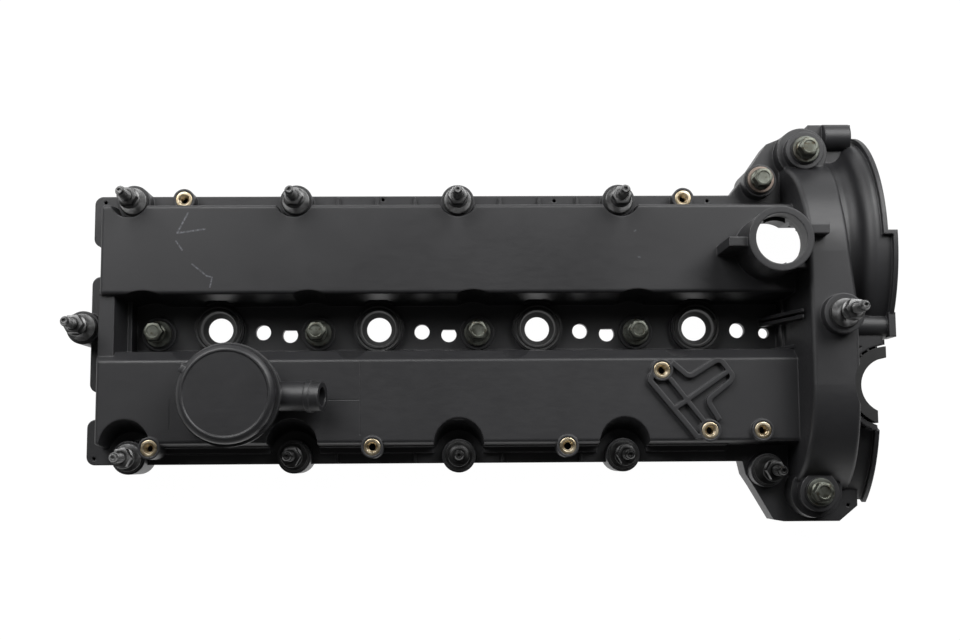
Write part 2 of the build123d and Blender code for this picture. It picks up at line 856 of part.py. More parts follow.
def cavities():
    """The hollows over both camshafts and the chain, with room left for walls, posts and gaskets."""
    hollow = upper_ridge(wall) + lower_ridge(wall) + case_solid(wall)
    for x, y, _ in back_studs:
        hollow -= cylinder(x, y, back_scallop_radius + wall, 0, ridge_top)
    for x, _, _ in front_studs:
        hollow -= front_scallop(x, wall)
    hollow -= injector_reliefs(wall) + bolt_reliefs(wall) + clamp_reliefs(wall)
    for x, y, _ in case_bolts:
        hollow -= cylinder(x, y, sleeve_hole_radius + wall, 0, boss_top)
    hollow -= cylinder(notch_x, notch_y, notch_radius + 2 * wall, notch_bottom - 2 * wall, case_top)
    hollow -= cylinder(*case_stud, case_boss_radius - wall, case_post_foot, case_top)
    keep = perimeter_region(gasket_inset + gasket_width + gasket_land) - valley_region(gasket_land)
    low = extrude(Pos(0, 0, seal_lift - 1) * keep, land_top - seal_lift + 1)
    high = block(-300, 300, -200, 200, land_top, case_top)
    return (hollow & low) + (hollow & high)


def inner_ribs():
    """Cross ribs under the roofs and the walls of the oil separator box."""
    parts = []
    low = ridge_top - wall - roof_rib_height
    for x in roof_rib_x:
        x0 = x - roof_rib_width / 2
        x1 = x + roof_rib_width / 2
        parts.append(block(x0, x1, upper_ridge_front + 1, upper_ridge_back - 1, low, ridge_top - 1))
    outer = baffle_outline(0)
    inner = baffle_outline(baffle_wall)
    parts.append(ring_between(outer, inner, baffle_top, ridge_top - 1))
    return parts


def baffle_outline(inset):
    """The plan of the oil separator box."""
    x0 = baffle_left + inset
    x1 = baffle_right - inset
    return rounded_rectangle(x0, x1, baffle_front + inset, baffle_back - inset, baffle_corner - inset)


def shell_cuts():
    """Every hole, bore and groove of the moulding."""
    cuts = breather_cuts()
    for x, y, top, _, _ in stud_places + bolt_places:
        cuts.append(cylinder(x, y, sleeve_hole_radius, -1, top + 1))
    for x in injector_x:
        cuts.append(cylinder(x, 0, injector_foot_radius, 0, injector_foot_top))
        cuts.append(cylinder(x, 0, injector_bore_radius, injector_foot_top, injector_ring_top + 1))
        cuts.append(cylinder(x + glow_hole_a[0], glow_hole_a[1], glow_hole_radius, 0, valley_floor_top + 1))
    for x in injector_x[:-1]:
        hole = cylinder(x + glow_hole_b[0], glow_hole_b[1], glow_hole_radius, 0, valley_floor_top + 1)
        flat = glow_hole_b[1] + glow_hole_flat
        cuts.append(hole & block(x, x + bore_pitch, -valley_half, flat, 0, valley_floor_top + 1))
    end_x = injector_x[-1] + glow_hole_b[0]
    cuts.append(cylinder(end_x, glow_hole_b[1], end_hole_radius, 0, valley_floor_top + 1))
    cuts.append(cylinder(neck_x, neck_y, neck_bore_radius, neck_top - neck_bore_length, neck_top + 1))
    cuts.append(cylinder(neck_x, neck_y, neck_throat_radius, neck_throat_foot, neck_top - neck_bore_length))
    far_x = neck_x + neck_opening_reach
    half = neck_opening_half
    cuts.append(block(neck_x, far_x, neck_y - half, neck_y + half, neck_throat_foot, neck_opening_top))
    for x, y, top in all_inserts:
        cuts.append(cylinder(x, y, insert_radius + fit_gap, top - insert_length, top + 1))
    for x, y in pin_holes:
        cuts.append(cylinder(x, y, pin_hole_radius, flange_top - pin_hole_depth, flange_top + 1))
    cuts.append(cylinder(notch_x, notch_y, notch_radius, notch_bottom, case_top))
    screw = Pos(shroud_right + shroud_step + 1, screw_boss_y, screw_boss_z) * Rot(0, -90, 0)
    cuts.append(screw * cylinder(0, 0, screw_hole_radius, 0, screw_hole_depth))
    low = seal_lift - 1
    outer = perimeter_region(gasket_inset)
    inner = perimeter_region(gasket_inset + gasket_width)
    cuts.append(ring_between(outer, inner, low, seal_lift + gasket_groove_depth))
    valley_inner = valley_region(-valley_gasket_width)
    cuts.append(ring_between(valley_region(0), valley_inner, low, seal_lift + valley_groove_depth))
    return cuts


def bayonet_lugs():
    """The two lugs inside the neck that hold the filler lid."""
    ring = cylinder(neck_x, neck_y, neck_radius - 1, bayonet_bottom, bayonet_top)
    ring -= cylinder(neck_x, neck_y, bayonet_radius, bayonet_bottom - 1, bayonet_top + 1)
    half = bayonet_width / 2
    reach = neck_radius + 2
    left, right = neck_x - half, neck_x + half
    return ring & block(left, right, neck_y - reach, neck_y + reach, bayonet_bottom, bayonet_top)


def notch_window():
    """The space left of the slanting ends of the notch's two arms."""
    reach = notch_radius + 2 * wall
    plan = plan_from(
        (case_wall_x - 6, notch_y - reach),
        (notch_arm_front_x, notch_y - reach),
        (notch_arm_front_x, notch_y - wall),
        (notch_arm_back_x, notch_y + wall),
        (notch_arm_back_x, notch_y + reach),
        (case_wall_x - 6, notch_y + reach),
    )
    return extrude(plan, notch_top + notch_seal_proud)


def notch_body():
    """The wall of the notch and the lip under its rubber lining."""
    reach = notch_radius + wall
    ring = cylinder(notch_x, notch_y, reach, notch_bottom - wall, notch_top)
    ring -= cylinder(notch_x, notch_y, notch_radius - notch_lip, notch_bottom - wall - 1, notch_top + 1)
    return ring & notch_window()


def make_cover_shell():
    """The whole moulding."""
    body = shell_outside()
    body += notch_body()
    body -= cavities()
    body += insert_posts() + inner_ribs()
    for cut in shell_cuts():
        body -= cut
    return body + bayonet_lugs()


def make_perimeter_gasket():
    """The rubber loop round the flange."""
    outer = perimeter_region(gasket_inset + fit_gap)
    inner = perimeter_region(gasket_inset + gasket_width - fit_gap)
    return ring_between(outer, inner, 0, seal_lift + gasket_groove_depth - fit_gap)


def make_valley_gasket():
    """The rubber loop round the injector valley."""
    outer = valley_region(-fit_gap)
    inner = valley_region(fit_gap - valley_gasket_width)
    return ring_between(outer, inner, 0, seal_lift + valley_groove_depth - fit_gap)


def make_injector_seal(x):
    """A rubber seal with an inner lip, pressed in an injector ring."""
    top = injector_ring_top
    outer = injector_bore_radius - fit_gap
    foot = injector_foot_top + fit_gap
    return Pos(x, 0) * revolved(
        (seal_lip_root, foot),
        (outer, foot),
        (outer, top),
        (seal_flange_radius, top),
        (seal_flange_radius, top + seal_flange_height),
        (seal_throat_radius, top + seal_flange_height),
        (seal_throat_radius, seal_throat_foot),
        (seal_lip_radius, seal_lip_top),
        (seal_lip_radius, seal_lip_top - seal_lip_thickness),
    )


def make_grommet(x, y, top):
    """A rubber ring between a boss and its sleeve."""
    ring = cylinder(x, y, grommet_radius, top, top + grommet_height)
    return ring - cylinder(x, y, sleeve_radius + fit_gap, top - 1, top + grommet_height + 1)


def make_sleeve(x, y, top, foot):
    """A flanged steel compression sleeve."""
    seat = top + grommet_height
    return Pos(x, y) * revolved(
        (sleeve_bore_radius, foot + sleeve_foot),
        (sleeve_radius, foot + sleeve_foot),
        (sleeve_radius, seat),
        (sleeve_flange_radius, seat),
        (sleeve_flange_radius, seat + sleeve_flange_height),
        (sleeve_bore_radius, seat + sleeve_flange_height),
    )


def make_bolt(x, y, top, foot, lift):
    """A captive bolt standing proud of its sleeve."""
    seat = top + grommet_height + sleeve_flange_height + lift
    collar_top = seat + hex_collar_height
    bolt = cylinder(0, 0, bolt_radius, foot + bolt_foot, seat)
    bolt += cylinder(0, 0, hex_collar_radius, seat, collar_top)
    flats = RegularPolygon(hex_across_flats / 2, 6, major_radius=False)
    bolt += extrude(Pos(0, 0, collar_top) * flats, hex_height)
    return Pos(x, y) * bolt


def make_stud_bolt(x, y, top, foot, lift):
    """A captive bolt with a threaded stud above its hexagon."""
    seat = top + grommet_height + sleeve_flange_height + lift
    low = seat + hex_collar_height + hex_height
    high = low + stud_length
    bolt = make_bolt(x, y, top, foot, lift)
    bolt += cylinder(x, y, stud_radius, low, high - stud_tip_length)
    return bolt + cone(x, y, stud_radius, stud_tip_radius, high - stud_tip_length, high)


def make_insert(x, y, top):
    """A brass threaded insert with a grip groove round it."""
    middle = top - insert_length / 2
    half = insert_groove_width / 2
    return Pos(x, y) * revolved(
        (insert_bore_radius, top - insert_length),
        (insert_radius, top - insert_length),
        (insert_radius, middle - half),
        (insert_radius - insert_groove_depth, middle - half),
        (insert_radius - insert_groove_depth, middle + half),
        (insert_radius, middle + half),
        (insert_radius, top),
        (insert_bore_radius, top),
    )


def make_breather_cap():
    """The lid that clamps the diaphragm."""
    clamp_z = breather_rim + diaphragm_thickness
    cap_top = breather_rim + cap_height
    clamp_radius = diaphragm_rim_radius - diaphragm_clamp_width
    cap = revolved(
        (0, cap_top),
        (cap_disc_radius, cap_top),
        (cap_radius, cap_top - cap_chamfer),
        (cap_radius, breather_rim),
        (diaphragm_rim_radius + fit_gap, breather_rim),
        (diaphragm_rim_radius + fit_gap, clamp_z),
        (clamp_radius, clamp_z),
        (clamp_radius, cap_top - cap_wall),
        (cap_stop_radius, cap_top - cap_wall),
        (cap_stop_radius, clamp_z + cap_stop_gap),
        (0, clamp_z + cap_stop_gap),
    )
    vent = Pos(0, 0, clamp_z + cap_wall) * Rot(90, 0, 0)
    cap -= vent * cylinder(0, 0, cap_vent_radius, 0, cap_radius + 1)
    half = cap_lug_width / 2
    lug_top = cap_top - cap_chamfer / 2
    lug = block(cap_disc_radius, cap_radius + cap_lug_reach, -half, half, lug_top - cap_lug_height, lug_top)
    return Pos(breather_x, breather_y) * (cap + Rot(0, 0, cap_lug_angle) * lug)


def make_valve_plate():
    """The plate and guide stem under the diaphragm."""
    disc_low = breather_rim - plate_height
    disc = cylinder(breather_x, breather_y, plate_radius, disc_low, breather_rim)
    stem_low = disc_low - plate_stem_length
    return disc + cylinder(breather_x, breather_y, plate_stem_radius, stem_low, disc_low)


def make_valve_spring():
    """The coil spring in the throat."""
    low = breather_floor + spring_wire_radius + spring_end_gap
    high = breather_rim - plate_height - spring_wire_radius - spring_end_gap
    path = Helix(pitch=(high - low) / spring_turns, height=high - low, radius=spring_mean_radius)
    section = Plane(path @ 0, z_dir=path % 0) * Circle(spring_wire_radius)
    coil = sweep(section, path)
    return Pos(breather_x, breather_y, low) * coil


def make_oil_baffle():
    """The plate welded under the oil separator box."""
    plate = extrude(Pos(0, 0, baffle_top - baffle_thickness) * baffle_outline(0), baffle_thickness)
    middle_y = (baffle_front + baffle_back) / 2
    for k in range(baffle_slot_count):
        x = baffle_right - 12 - k * baffle_slot_pitch
        slot = Rot(0, 0, 90) * SlotOverall(baffle_slot_length, baffle_slot_width)
        plate -= extrude(Pos(x, middle_y, baffle_top - baffle_thickness) * slot, baffle_thickness)
    drain_x = baffle_left + 12
    low = baffle_top - baffle_thickness
    return plate - cylinder(drain_x, middle_y, baffle_drain_radius, low, baffle_top)


def make_notch_seal():
    """The ribbed rubber lining of the notch."""
    high = notch_top + notch_seal_proud
    outer = notch_radius - notch_rib_depth - fit_gap
    ring = cylinder(0, 0, outer, notch_bottom, high)
    half = notch_rib_width / 2
    rib = block(outer - 1, notch_radius - fit_gap, -half, half, notch_bottom, notch_top)
    for k in range(notch_rib_count):
        angle = 180 + (k - (notch_rib_count - 1) / 2) * notch_rib_spread / (notch_rib_count - 1)
        ring += Rot(0, 0, angle) * rib
    ring -= cylinder(0, 0, notch_seal_inner, notch_bottom - 1, high + 1)
    return Pos(notch_x, notch_y) * ring & notch_window()


def make_diaphragm():
    """The rubber disc that carries the valve plate."""
    return cylinder(
        breather_x, breather_y, diaphragm_rim_radius, breather_rim, breather_rim + diaphragm_thickness
    )


outline = flange_outline()

pieces = {
    "cover_shell": make_cover_shell(),
    "perimeter_gasket": make_perimeter_gasket(),
    "valley_gasket": make_valley_gasket(),
    "stud_sleeves": Compound([make_sleeve(x, y, top, foot) for x, y, top, foot, _ in stud_places]),
    "bolt_sleeves": Compound([make_sleeve(x, y, top, foot) for x, y, top, foot, _ in bolt_places]),
    "stud_grommets": Compound([make_grommet(x, y, top) for x, y, top, _, _ in stud_places]),
    "bolt_grommets": Compound([make_grommet(x, y, top) for x, y, top, _, _ in bolt_places]),
    "breather_cap": make_breather_cap(),
    "breather_diaphragm": make_diaphragm(),
    "valve_plate": make_valve_plate(),
    "valve_spring": make_valve_spring(),
    "oil_baffle": make_oil_baffle(),
    "notch_seal": make_notch_seal(),
}
for number, x in enumerate(injector_x, 1):
    pieces[f"injector_seal_{number}"] = make_injector_seal(x)
for number, place in enumerate(stud_places, 1):
    pieces[f"stud_bolt_{number}"] = make_stud_bolt(*place)
for number, place in enumerate(bolt_places, 1):
    pieces[f"flange_bolt_{number}"] = make_bolt(*place)
for number, place in enumerate(all_inserts, 1):
    pieces[f"insert_{number}"] = make_insert(*place)

for name, piece in pieces.items():
    export_step(piece, f"parts/{name}.step")
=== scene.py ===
import math

import bmesh
import bpy
from bpy.props import FloatProperty, FloatVectorProperty, PointerProperty
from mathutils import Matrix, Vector


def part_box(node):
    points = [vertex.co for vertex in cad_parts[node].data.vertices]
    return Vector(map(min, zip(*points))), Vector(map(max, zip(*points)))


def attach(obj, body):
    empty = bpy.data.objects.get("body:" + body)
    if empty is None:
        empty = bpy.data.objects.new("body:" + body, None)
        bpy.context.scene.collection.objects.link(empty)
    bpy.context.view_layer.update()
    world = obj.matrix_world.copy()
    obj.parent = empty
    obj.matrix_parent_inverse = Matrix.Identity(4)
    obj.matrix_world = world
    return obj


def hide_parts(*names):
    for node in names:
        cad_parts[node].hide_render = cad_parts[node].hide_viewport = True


bl_info = {
    "name": "Engine valve cover",
    "version": (1, 0, 0),
    "blender": (4, 5, 0),
    "location": "3D View > Sidebar > Valve cover",
    "description": "Finishes a moulded engine valve cover and sets up its studio",
    "category": "Object",
}

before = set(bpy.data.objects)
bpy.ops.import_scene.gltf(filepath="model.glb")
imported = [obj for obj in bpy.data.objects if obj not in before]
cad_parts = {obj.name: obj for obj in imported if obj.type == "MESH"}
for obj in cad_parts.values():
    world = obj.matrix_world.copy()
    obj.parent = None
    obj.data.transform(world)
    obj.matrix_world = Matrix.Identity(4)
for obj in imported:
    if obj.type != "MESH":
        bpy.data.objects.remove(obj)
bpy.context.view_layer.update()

MM = 0.001
COVER = "cover"
MERGE_DISTANCE = 1e-7
AXIS_DISTANCE = 1e-9
SHARP_ANGLE = math.radians(32)


def centre_of(node):
    """The middle of a CAD node's box."""
    low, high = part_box(node)
    return (low + high) / 2


# How far an insert's face stands above the ridge that holds it
insert_lift = 0.3 * MM

# Places and sizes read from the frame
stud_nodes = [f"stud_bolt_{k}" for k in range(1, 12)]
bolt_nodes = [f"flange_bolt_{k}" for k in range(1, 8)]
insert_nodes = [f"insert_{k}" for k in range(1, 9)]
seal_nodes = [f"injector_seal_{k}" for k in range(1, 5)]
ridge_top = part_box("insert_3")[1].z - insert_lift
lid_centre = centre_of("breather_cap")
lid_low, lid_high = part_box("breather_cap")
lid_radius = (lid_high.x - lid_low.x) / 2


# Property groups


def length_setting(name, description, default):
    """A length that the user can change."""
    return FloatProperty(name=name, description=description, default=default, unit="LENGTH")


def colour_setting(name, description, default):
    """A colour that the user can change."""
    return FloatVectorProperty(name=name, description=description, default=default, subtype="COLOR", size=3)


class CoverFinish(bpy.types.PropertyGroup):
    """Colour and surface of the moulded cover."""

    nylon: colour_setting("Nylon", "Colour of the moulding", (0.0200, 0.0200, 0.0218))
    # The pale edge colour is partly worn edges and partly a painted highlight of light caught on rounded
    # edges.
    pale: colour_setting("Pale edge", "Colour of worn_and_highlit edges", (0.075, 0.075, 0.078))
    roughness: FloatProperty(
        name="Roughness", description="Roughness of the moulding", default=0.46, min=0, max=1
    )
    edge_radius: length_setting("Edge radius", "Radius of the softened edges", 1.2 * MM)


class FastenerSizes(bpy.types.PropertyGroup):
    """Sizes of the captive bolts and studs."""

    across_flats: length_setting("Across flats", "Hexagon width", 10 * MM)
    hex_height: length_setting("Hexagon height", "Height of the hexagon", 6 * MM)
    collar_radius: length_setting("Collar radius", "Radius of the collar", 6.3 * MM)
    collar_height: length_setting("Collar height", "Height of the collar", 1.5 * MM)
    thread_radius: length_setting("Thread radius", "Outer radius of the thread", 3 * MM)
    thread_pitch: length_setting("Thread pitch", "Pitch of the thread", 1 * MM)
    thread_depth: length_setting("Thread depth", "Depth of the thread", 0.45 * MM)
    stud_length: length_setting("Stud length", "Length of the upper stud", 16.4 * MM)
    washer_radius: length_setting("Washer radius", "Radius of the sleeve flange", 8 * MM)
    washer_height: length_setting("Washer height", "Height of the sleeve flange", 1.5 * MM)
    ring_radius: length_setting("Rubber radius", "Radius of the rubber ring", 8.7 * MM)
    ring_height: length_setting("Rubber height", "Height of the rubber ring", 1.4 * MM)
    sleeve_radius: length_setting("Sleeve radius", "Outer radius of the sleeve", 4.5 * MM)
    sleeve_bore: length_setting("Sleeve bore", "Bore radius of the sleeve", 3.3 * MM)


class StudioSettings(bpy.types.PropertyGroup):
    """Camera and light of the studio."""

    camera_place: FloatVectorProperty(
        name="Camera place",
        description="Where the camera stands",
        subtype="XYZ",
        unit="LENGTH",
        size=3,
        default=(-0.002562, -0.079044, 0.796904),
    )
    camera_turn: FloatVectorProperty(
        name="Camera turn",
        description="Rotation of the camera",
        subtype="EULER",
        unit="ROTATION",
        size=3,
        default=(0.106837, -0.019367, -0.006485),
    )
    lens: FloatProperty(name="Lens", description="Focal length in millimetres", default=48.99, min=1)
    key_power: FloatProperty(
        name="Key power", description="Power of the two large lights", default=12.4, min=0
    )
    fill_power: FloatProperty(name="Fill power", description="Power of the front light", default=0.3, min=0)
    room: FloatProperty(name="Room light", description="Strength of the even room light", default=0.06, min=0)


# Mesh helpers


def new_object(name, mesh):
    """A linked object for a mesh."""
    piece = bpy.data.objects.new(name, mesh)
    bpy.context.scene.collection.objects.link(piece)
    return piece


def mesh_from(name, verts, faces, smooth=True):
    """A clean mesh from vertices and faces, smooth apart from its sharp edges."""
    mesh = bpy.data.meshes.new(name)
    mesh.from_pydata(verts, [], faces)
    shape = bmesh.new()
    shape.from_mesh(mesh)
    bmesh.ops.remove_doubles(shape, verts=shape.verts, dist=MERGE_DISTANCE)
    bmesh.ops.recalc_face_normals(shape, faces=shape.faces)
    shape.to_mesh(mesh)
    shape.free()
    if smooth:
        mesh.shade_smooth()
        mesh.set_sharp_from_angle(angle=SHARP_ANGLE)
    return mesh


def lathe(profile, segments):
    """Vertices and faces of a closed loop of (radius, height) points turned about Z."""
    count = len(profile)
    verts = []
    for step in range(segments):
        angle = 2 * math.pi * step / segments
        for radius, height in profile:
            verts.append((radius * math.cos(angle), radius * math.sin(angle), height))
    faces = []
    for step in range(segments):
        here = step * count
        there = (step + 1) % segments * count
        for k in range(count):
            j = (k + 1) % count
            starts_on_axis = profile[k][0] < AXIS_DISTANCE
            ends_on_axis = profile[j][0] < AXIS_DISTANCE
            if starts_on_axis and ends_on_axis:
                continue
            if starts_on_axis:
                faces.append((here + k, there + j, here + j))
            elif ends_on_axis:
                faces.append((here + k, there + k, here + j))
            else:
                faces.append((here + k, there + k, there + j, here + j))
    return verts, faces


def rounded(profile, radius, steps=3):
    """The loop of points with each marked corner, given as (radius, height, True), made an arc."""
    made = []
    count = len(profile)
    edge_share = 0.45
    for k, point in enumerate(profile):
        here = Vector(point[:2])
        if len(point) < 3:
            made.append(tuple(here))
            continue
        before = Vector(profile[k - 1][:2]) - here
        after = Vector(profile[(k + 1) % count][:2]) - here
        reach = min(radius, before.length * edge_share, after.length * edge_share)
        start = here + before.normalized() * reach
        end = here + after.normalized() * reach
        for step in range(steps + 1):
            t = step / steps
            made.append(tuple(start * (1 - t) ** 2 + here * 2 * t * (1 - t) + end * t**2))
    return made


def hexagon_radius(angle, apothem):
    """The distance from the axis to a hexagon's side at an angle."""
    sector = math.pi / 3
    return apothem / math.cos((angle % sector) - sector / 2)


def hex_head(apothem, low, high, segments=72):
    """A hexagon whose corners are turned down to a cone above, with a dished top."""
    circle = apothem * 0.97
    circle_drop = apothem * 0.0001
    rim = apothem * 0.72
    dish_rim = rim * 0.93
    dish_depth = apothem * 0.06
    slope = math.tan(math.radians(30))
    verts = []
    for step in range(segments):
        angle = 2 * math.pi * step / segments
        out = hexagon_radius(angle, apothem)
        drop = max(0.0, out - circle) * slope
        cos, sin = math.cos(angle), math.sin(angle)
        ring = [
            (out, low),
            (out, high - drop),
            (min(out, circle), high - circle_drop),
            (rim, high),
            (dish_rim, high - dish_depth),
        ]
        verts += [(radius * cos, radius * sin, height) for radius, height in ring]
    count = len(ring)
    faces = []
    for step in range(segments):
        here = step * count
        there = (step + 1) % segments * count
        for k in range(count - 1):
            faces.append((here + k, there + k, there + k + 1, here + k + 1))
    faces.append(tuple(step * count for step in reversed(range(segments))))
    faces.append(tuple(step * count + count - 1 for step in range(segments)))
    return verts, faces


def soft_block(x0, x1, y0, y1, z0, z1, radius):
    """A block between two corners with rounded edges."""
    shape = bmesh.new()
    bmesh.ops.create_cube(shape, size=1.0)
    for vertex in shape.verts:
        vertex.co.x = x1 if vertex.co.x > 0 else x0
        vertex.co.y = y1 if vertex.co.y > 0 else y0
        vertex.co.z = z1 if vertex.co.z > 0 else z0
    bmesh.ops.bevel(shape, geom=shape.edges[:], offset=radius, segments=3, affect="EDGES", profile=0.5)
    verts = [tuple(vertex.co) for vertex in shape.verts]
    faces = [tuple(vertex.index for vertex in face.verts) for face in shape.faces]
    shape.free()
    return verts, faces


def turned(shape, angle):
    """A (vertices, faces) pair turned about Z."""
    verts, faces = shape
    cos, sin = math.cos(angle), math.sin(angle)
    return [(x * cos - y * sin, x * sin + y * cos, z) for x, y, z in verts], faces


def moved(shape, height):
    """A (vertices, faces) pair lifted by a height."""
    verts, faces = shape
    return [(x, y, z + height) for x, y, z in verts], faces


def joined(*shapes):
    """Several (vertices, faces) pairs as one."""
    verts, faces = [], []
    for shape_verts, shape_faces in shapes:
        base = len(verts)
        verts += shape_verts
        faces += [tuple(k + base for k in face) for face in shape_faces]
    return verts, faces


# A lower part with no faces, for a row of heads alone
NO_LOWER_PART = ([(0, 0, 0)], [])


# Geometry node helpers


class Builder:
    """Adds nodes to a tree and sets or links their sockets."""

    def __init__(self, tree):
        self.tree = tree
        self.nodes = tree.nodes
        self.links = tree.links

    def plug(self, socket, source):
        """Set a socket from a value or link it from another socket."""
        if isinstance(source, bpy.types.NodeSocket):
            self.links.new(source, socket)
        else:
            socket.default_value = source

    def maths(self, operation, a, b=0.0):
        """A Math node's result."""
        node = self.nodes.new("ShaderNodeMath")
        node.operation = operation
        self.plug(node.inputs[0], a)
        self.plug(node.inputs[1], b)
        return node.outputs[0]


class Tree(Builder):
    """A small builder for a geometry node tree with named inputs."""

    def __init__(self, name):
        super().__init__(bpy.data.node_groups.new(name, "GeometryNodeTree"))
        self.face = self.tree.interface
        self.face.new_socket("Geometry", in_out="OUTPUT", socket_type="NodeSocketGeometry")
        self.face.new_socket("Geometry", in_out="INPUT", socket_type="NodeSocketGeometry")
        self.start = self.nodes.new("NodeGroupInput")
        self.end = self.nodes.new("NodeGroupOutput")

    def value(self, name, kind="NodeSocketFloat"):
        """A named input of the tree."""
        self.face.new_socket(name, in_out="INPUT", socket_type=kind)
        return self.start.outputs[name]

    def add(self, kind, **links):
        """A node with its inputs set or linked by socket name, spaces written as underscores."""
        node = self.nodes.new(kind)
        for name, source in links.items():
            self.plug(node.inputs[name.replace("_", " ")], source)
        return node

    def join(self, *sources):
        """Several geometries as one."""
        node = self.nodes.new("GeometryNodeJoinGeometry")
        for source in sources:
            self.links.new(source, node.inputs[0])
        return node.outputs[0]


def thread_tree():
    """A tree that makes a threaded rod upward from the origin."""
    build = Tree("threaded_rod")
    radius = build.value("Radius")
    pitch = build.value("Pitch")
    depth = build.value("Depth")
    length = build.value("Length")
    crest_radius = build.maths("MULTIPLY", depth, 0.55)
    end_gap = build.maths("MULTIPLY", depth, 1.2)
    core = build.maths("SUBTRACT", radius, depth)
    rod = build.add("GeometryNodeMeshCylinder", Vertices=24, Radius=core, Depth=length)
    half = build.maths("MULTIPLY", length, 0.5)
    place = build.add("ShaderNodeCombineXYZ", Z=half)
    rod = build.add("GeometryNodeTransform", Geometry=rod.outputs["Mesh"], Translation=place.outputs[0])
    travel = build.maths("SUBTRACT", length, build.maths("MULTIPLY", end_gap, 2.0))
    turns = build.maths("DIVIDE", travel, pitch)
    middle = build.maths("SUBTRACT", radius, crest_radius)
    spiral = build.add(
        "GeometryNodeCurveSpiral",
        Resolution=20,
        Rotations=turns,
        Start_Radius=middle,
        End_Radius=middle,
        Height=travel,
    )
    crest = build.add("GeometryNodeCurvePrimitiveCircle", Resolution=5, Radius=crest_radius)
    sweep = build.add(
        "GeometryNodeCurveToMesh", Curve=spiral.outputs[0], Profile_Curve=crest.outputs[0], Fill_Caps=True
    )
    lift = build.add("ShaderNodeCombineXYZ", Z=end_gap)
    sweep = build.add("GeometryNodeTransform", Geometry=sweep.outputs[0], Translation=lift.outputs[0])
    build.links.new(build.join(rod.outputs[0], sweep.outputs[0]), build.end.inputs[0])
    return build.tree


def row_tree():
    """A tree that puts a head on each point, and a lower part made as long as the point's reach."""
    build = Tree("row_of_fasteners")
    heads = build.value("Head", "NodeSocketObject")
    lower = build.value("Lower", "NodeSocketObject")
    material = build.value("Material", "NodeSocketMaterial")
    places = build.start.outputs["Geometry"]
    reach = build.add("GeometryNodeInputNamedAttribute", Name="reach").outputs["Attribute"]
    head = build.add("GeometryNodeObjectInfo", Object=heads).outputs["Geometry"]
    tube = build.add("GeometryNodeObjectInfo", Object=lower).outputs["Geometry"]
    top = build.add("GeometryNodeInstanceOnPoints", Points=places, Instance=head)
    stretch = build.add("ShaderNodeCombineXYZ", X=1.0, Y=1.0, Z=reach)
    under = build.add("GeometryNodeInstanceOnPoints", Points=places, Instance=tube, Scale=stretch.outputs[0])
    whole = build.join(top.outputs[0], under.outputs[0])
    real = build.add("GeometryNodeRealizeInstances", Geometry=whole)
    done = build.add("GeometryNodeSetMaterial", Geometry=real.outputs[0], Material=material)
    build.links.new(done.outputs[0], build.end.inputs[0])
    return build.tree


def modified(piece, tree, values):
    """The plain mesh that a node tree makes of an object, with its inputs set by identifier."""
    modifier = piece.modifiers.new(tree.name, "NODES")
    modifier.node_group = tree
    for item in tree.interface.items_tree:
        if item.in_out == "INPUT" and item.name in values:
            modifier[item.identifier] = values[item.name]
    bpy.context.view_layer.update()
    graph = bpy.context.evaluated_depsgraph_get()
    mesh = bpy.data.meshes.new_from_object(piece.evaluated_get(graph))
    piece.modifiers.remove(modifier)
    return mesh


def threaded_rod(radius, pitch, depth, length):
    """The mesh of a threaded rod made by its node tree."""
    holder = new_object("rod_holder", bpy.data.meshes.new("rod_holder"))
    tree = bpy.data.node_groups.get("threaded_rod") or thread_tree()
    mesh = modified(holder, tree, {"Radius": radius, "Pitch": pitch, "Depth": depth, "Length": length})
    bpy.data.objects.remove(holder)
    verts = [tuple(v.co) for v in mesh.vertices]
    faces = [tuple(p.vertices) for p in mesh.polygons]
    return verts, faces


def row_of(name, places, head, lower, material, nodes):
    """One piece with a copy of a head and its lower part at every (x, y, z, reach) place."""
    points = bpy.data.meshes.new(name + "_places")
    points.from_pydata([place[:3] for place in places], [], [])
    reach = points.attributes.new("reach", "FLOAT", "POINT")
    for item, place in zip(reach.data, places):
        item.value = place[3]
    holder = new_object(name + "_places", points)
    head_object = new_object(name + "_head", mesh_from(name + "_head", *head))
    lower_object = new_object(name + "_lower", mesh_from(name + "_lower", *lower))
    tree = bpy.data.node_groups.get("row_of_fasteners") or row_tree()
    mesh = modified(holder, tree, {"Head": head_object, "Lower": lower_object, "Material": material})
    for helper in (holder, head_object, lower_object):
        bpy.data.objects.remove(helper)
    mesh.name = name
    piece = new_object(name, mesh)
    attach(piece, COVER)
    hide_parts(*nodes)


# Material helpers

NOISE_ROUGHNESS = 0.55
SCRATCH_COLOUR = (0.14, 0.145, 0.16)
BROWN_FLECK = (0.05, 0.035, 0.02)


def toned(colour, factor):
    """A colour made lighter or darker by a factor."""
    return tuple(min(1.0, part * factor) for part in colour)


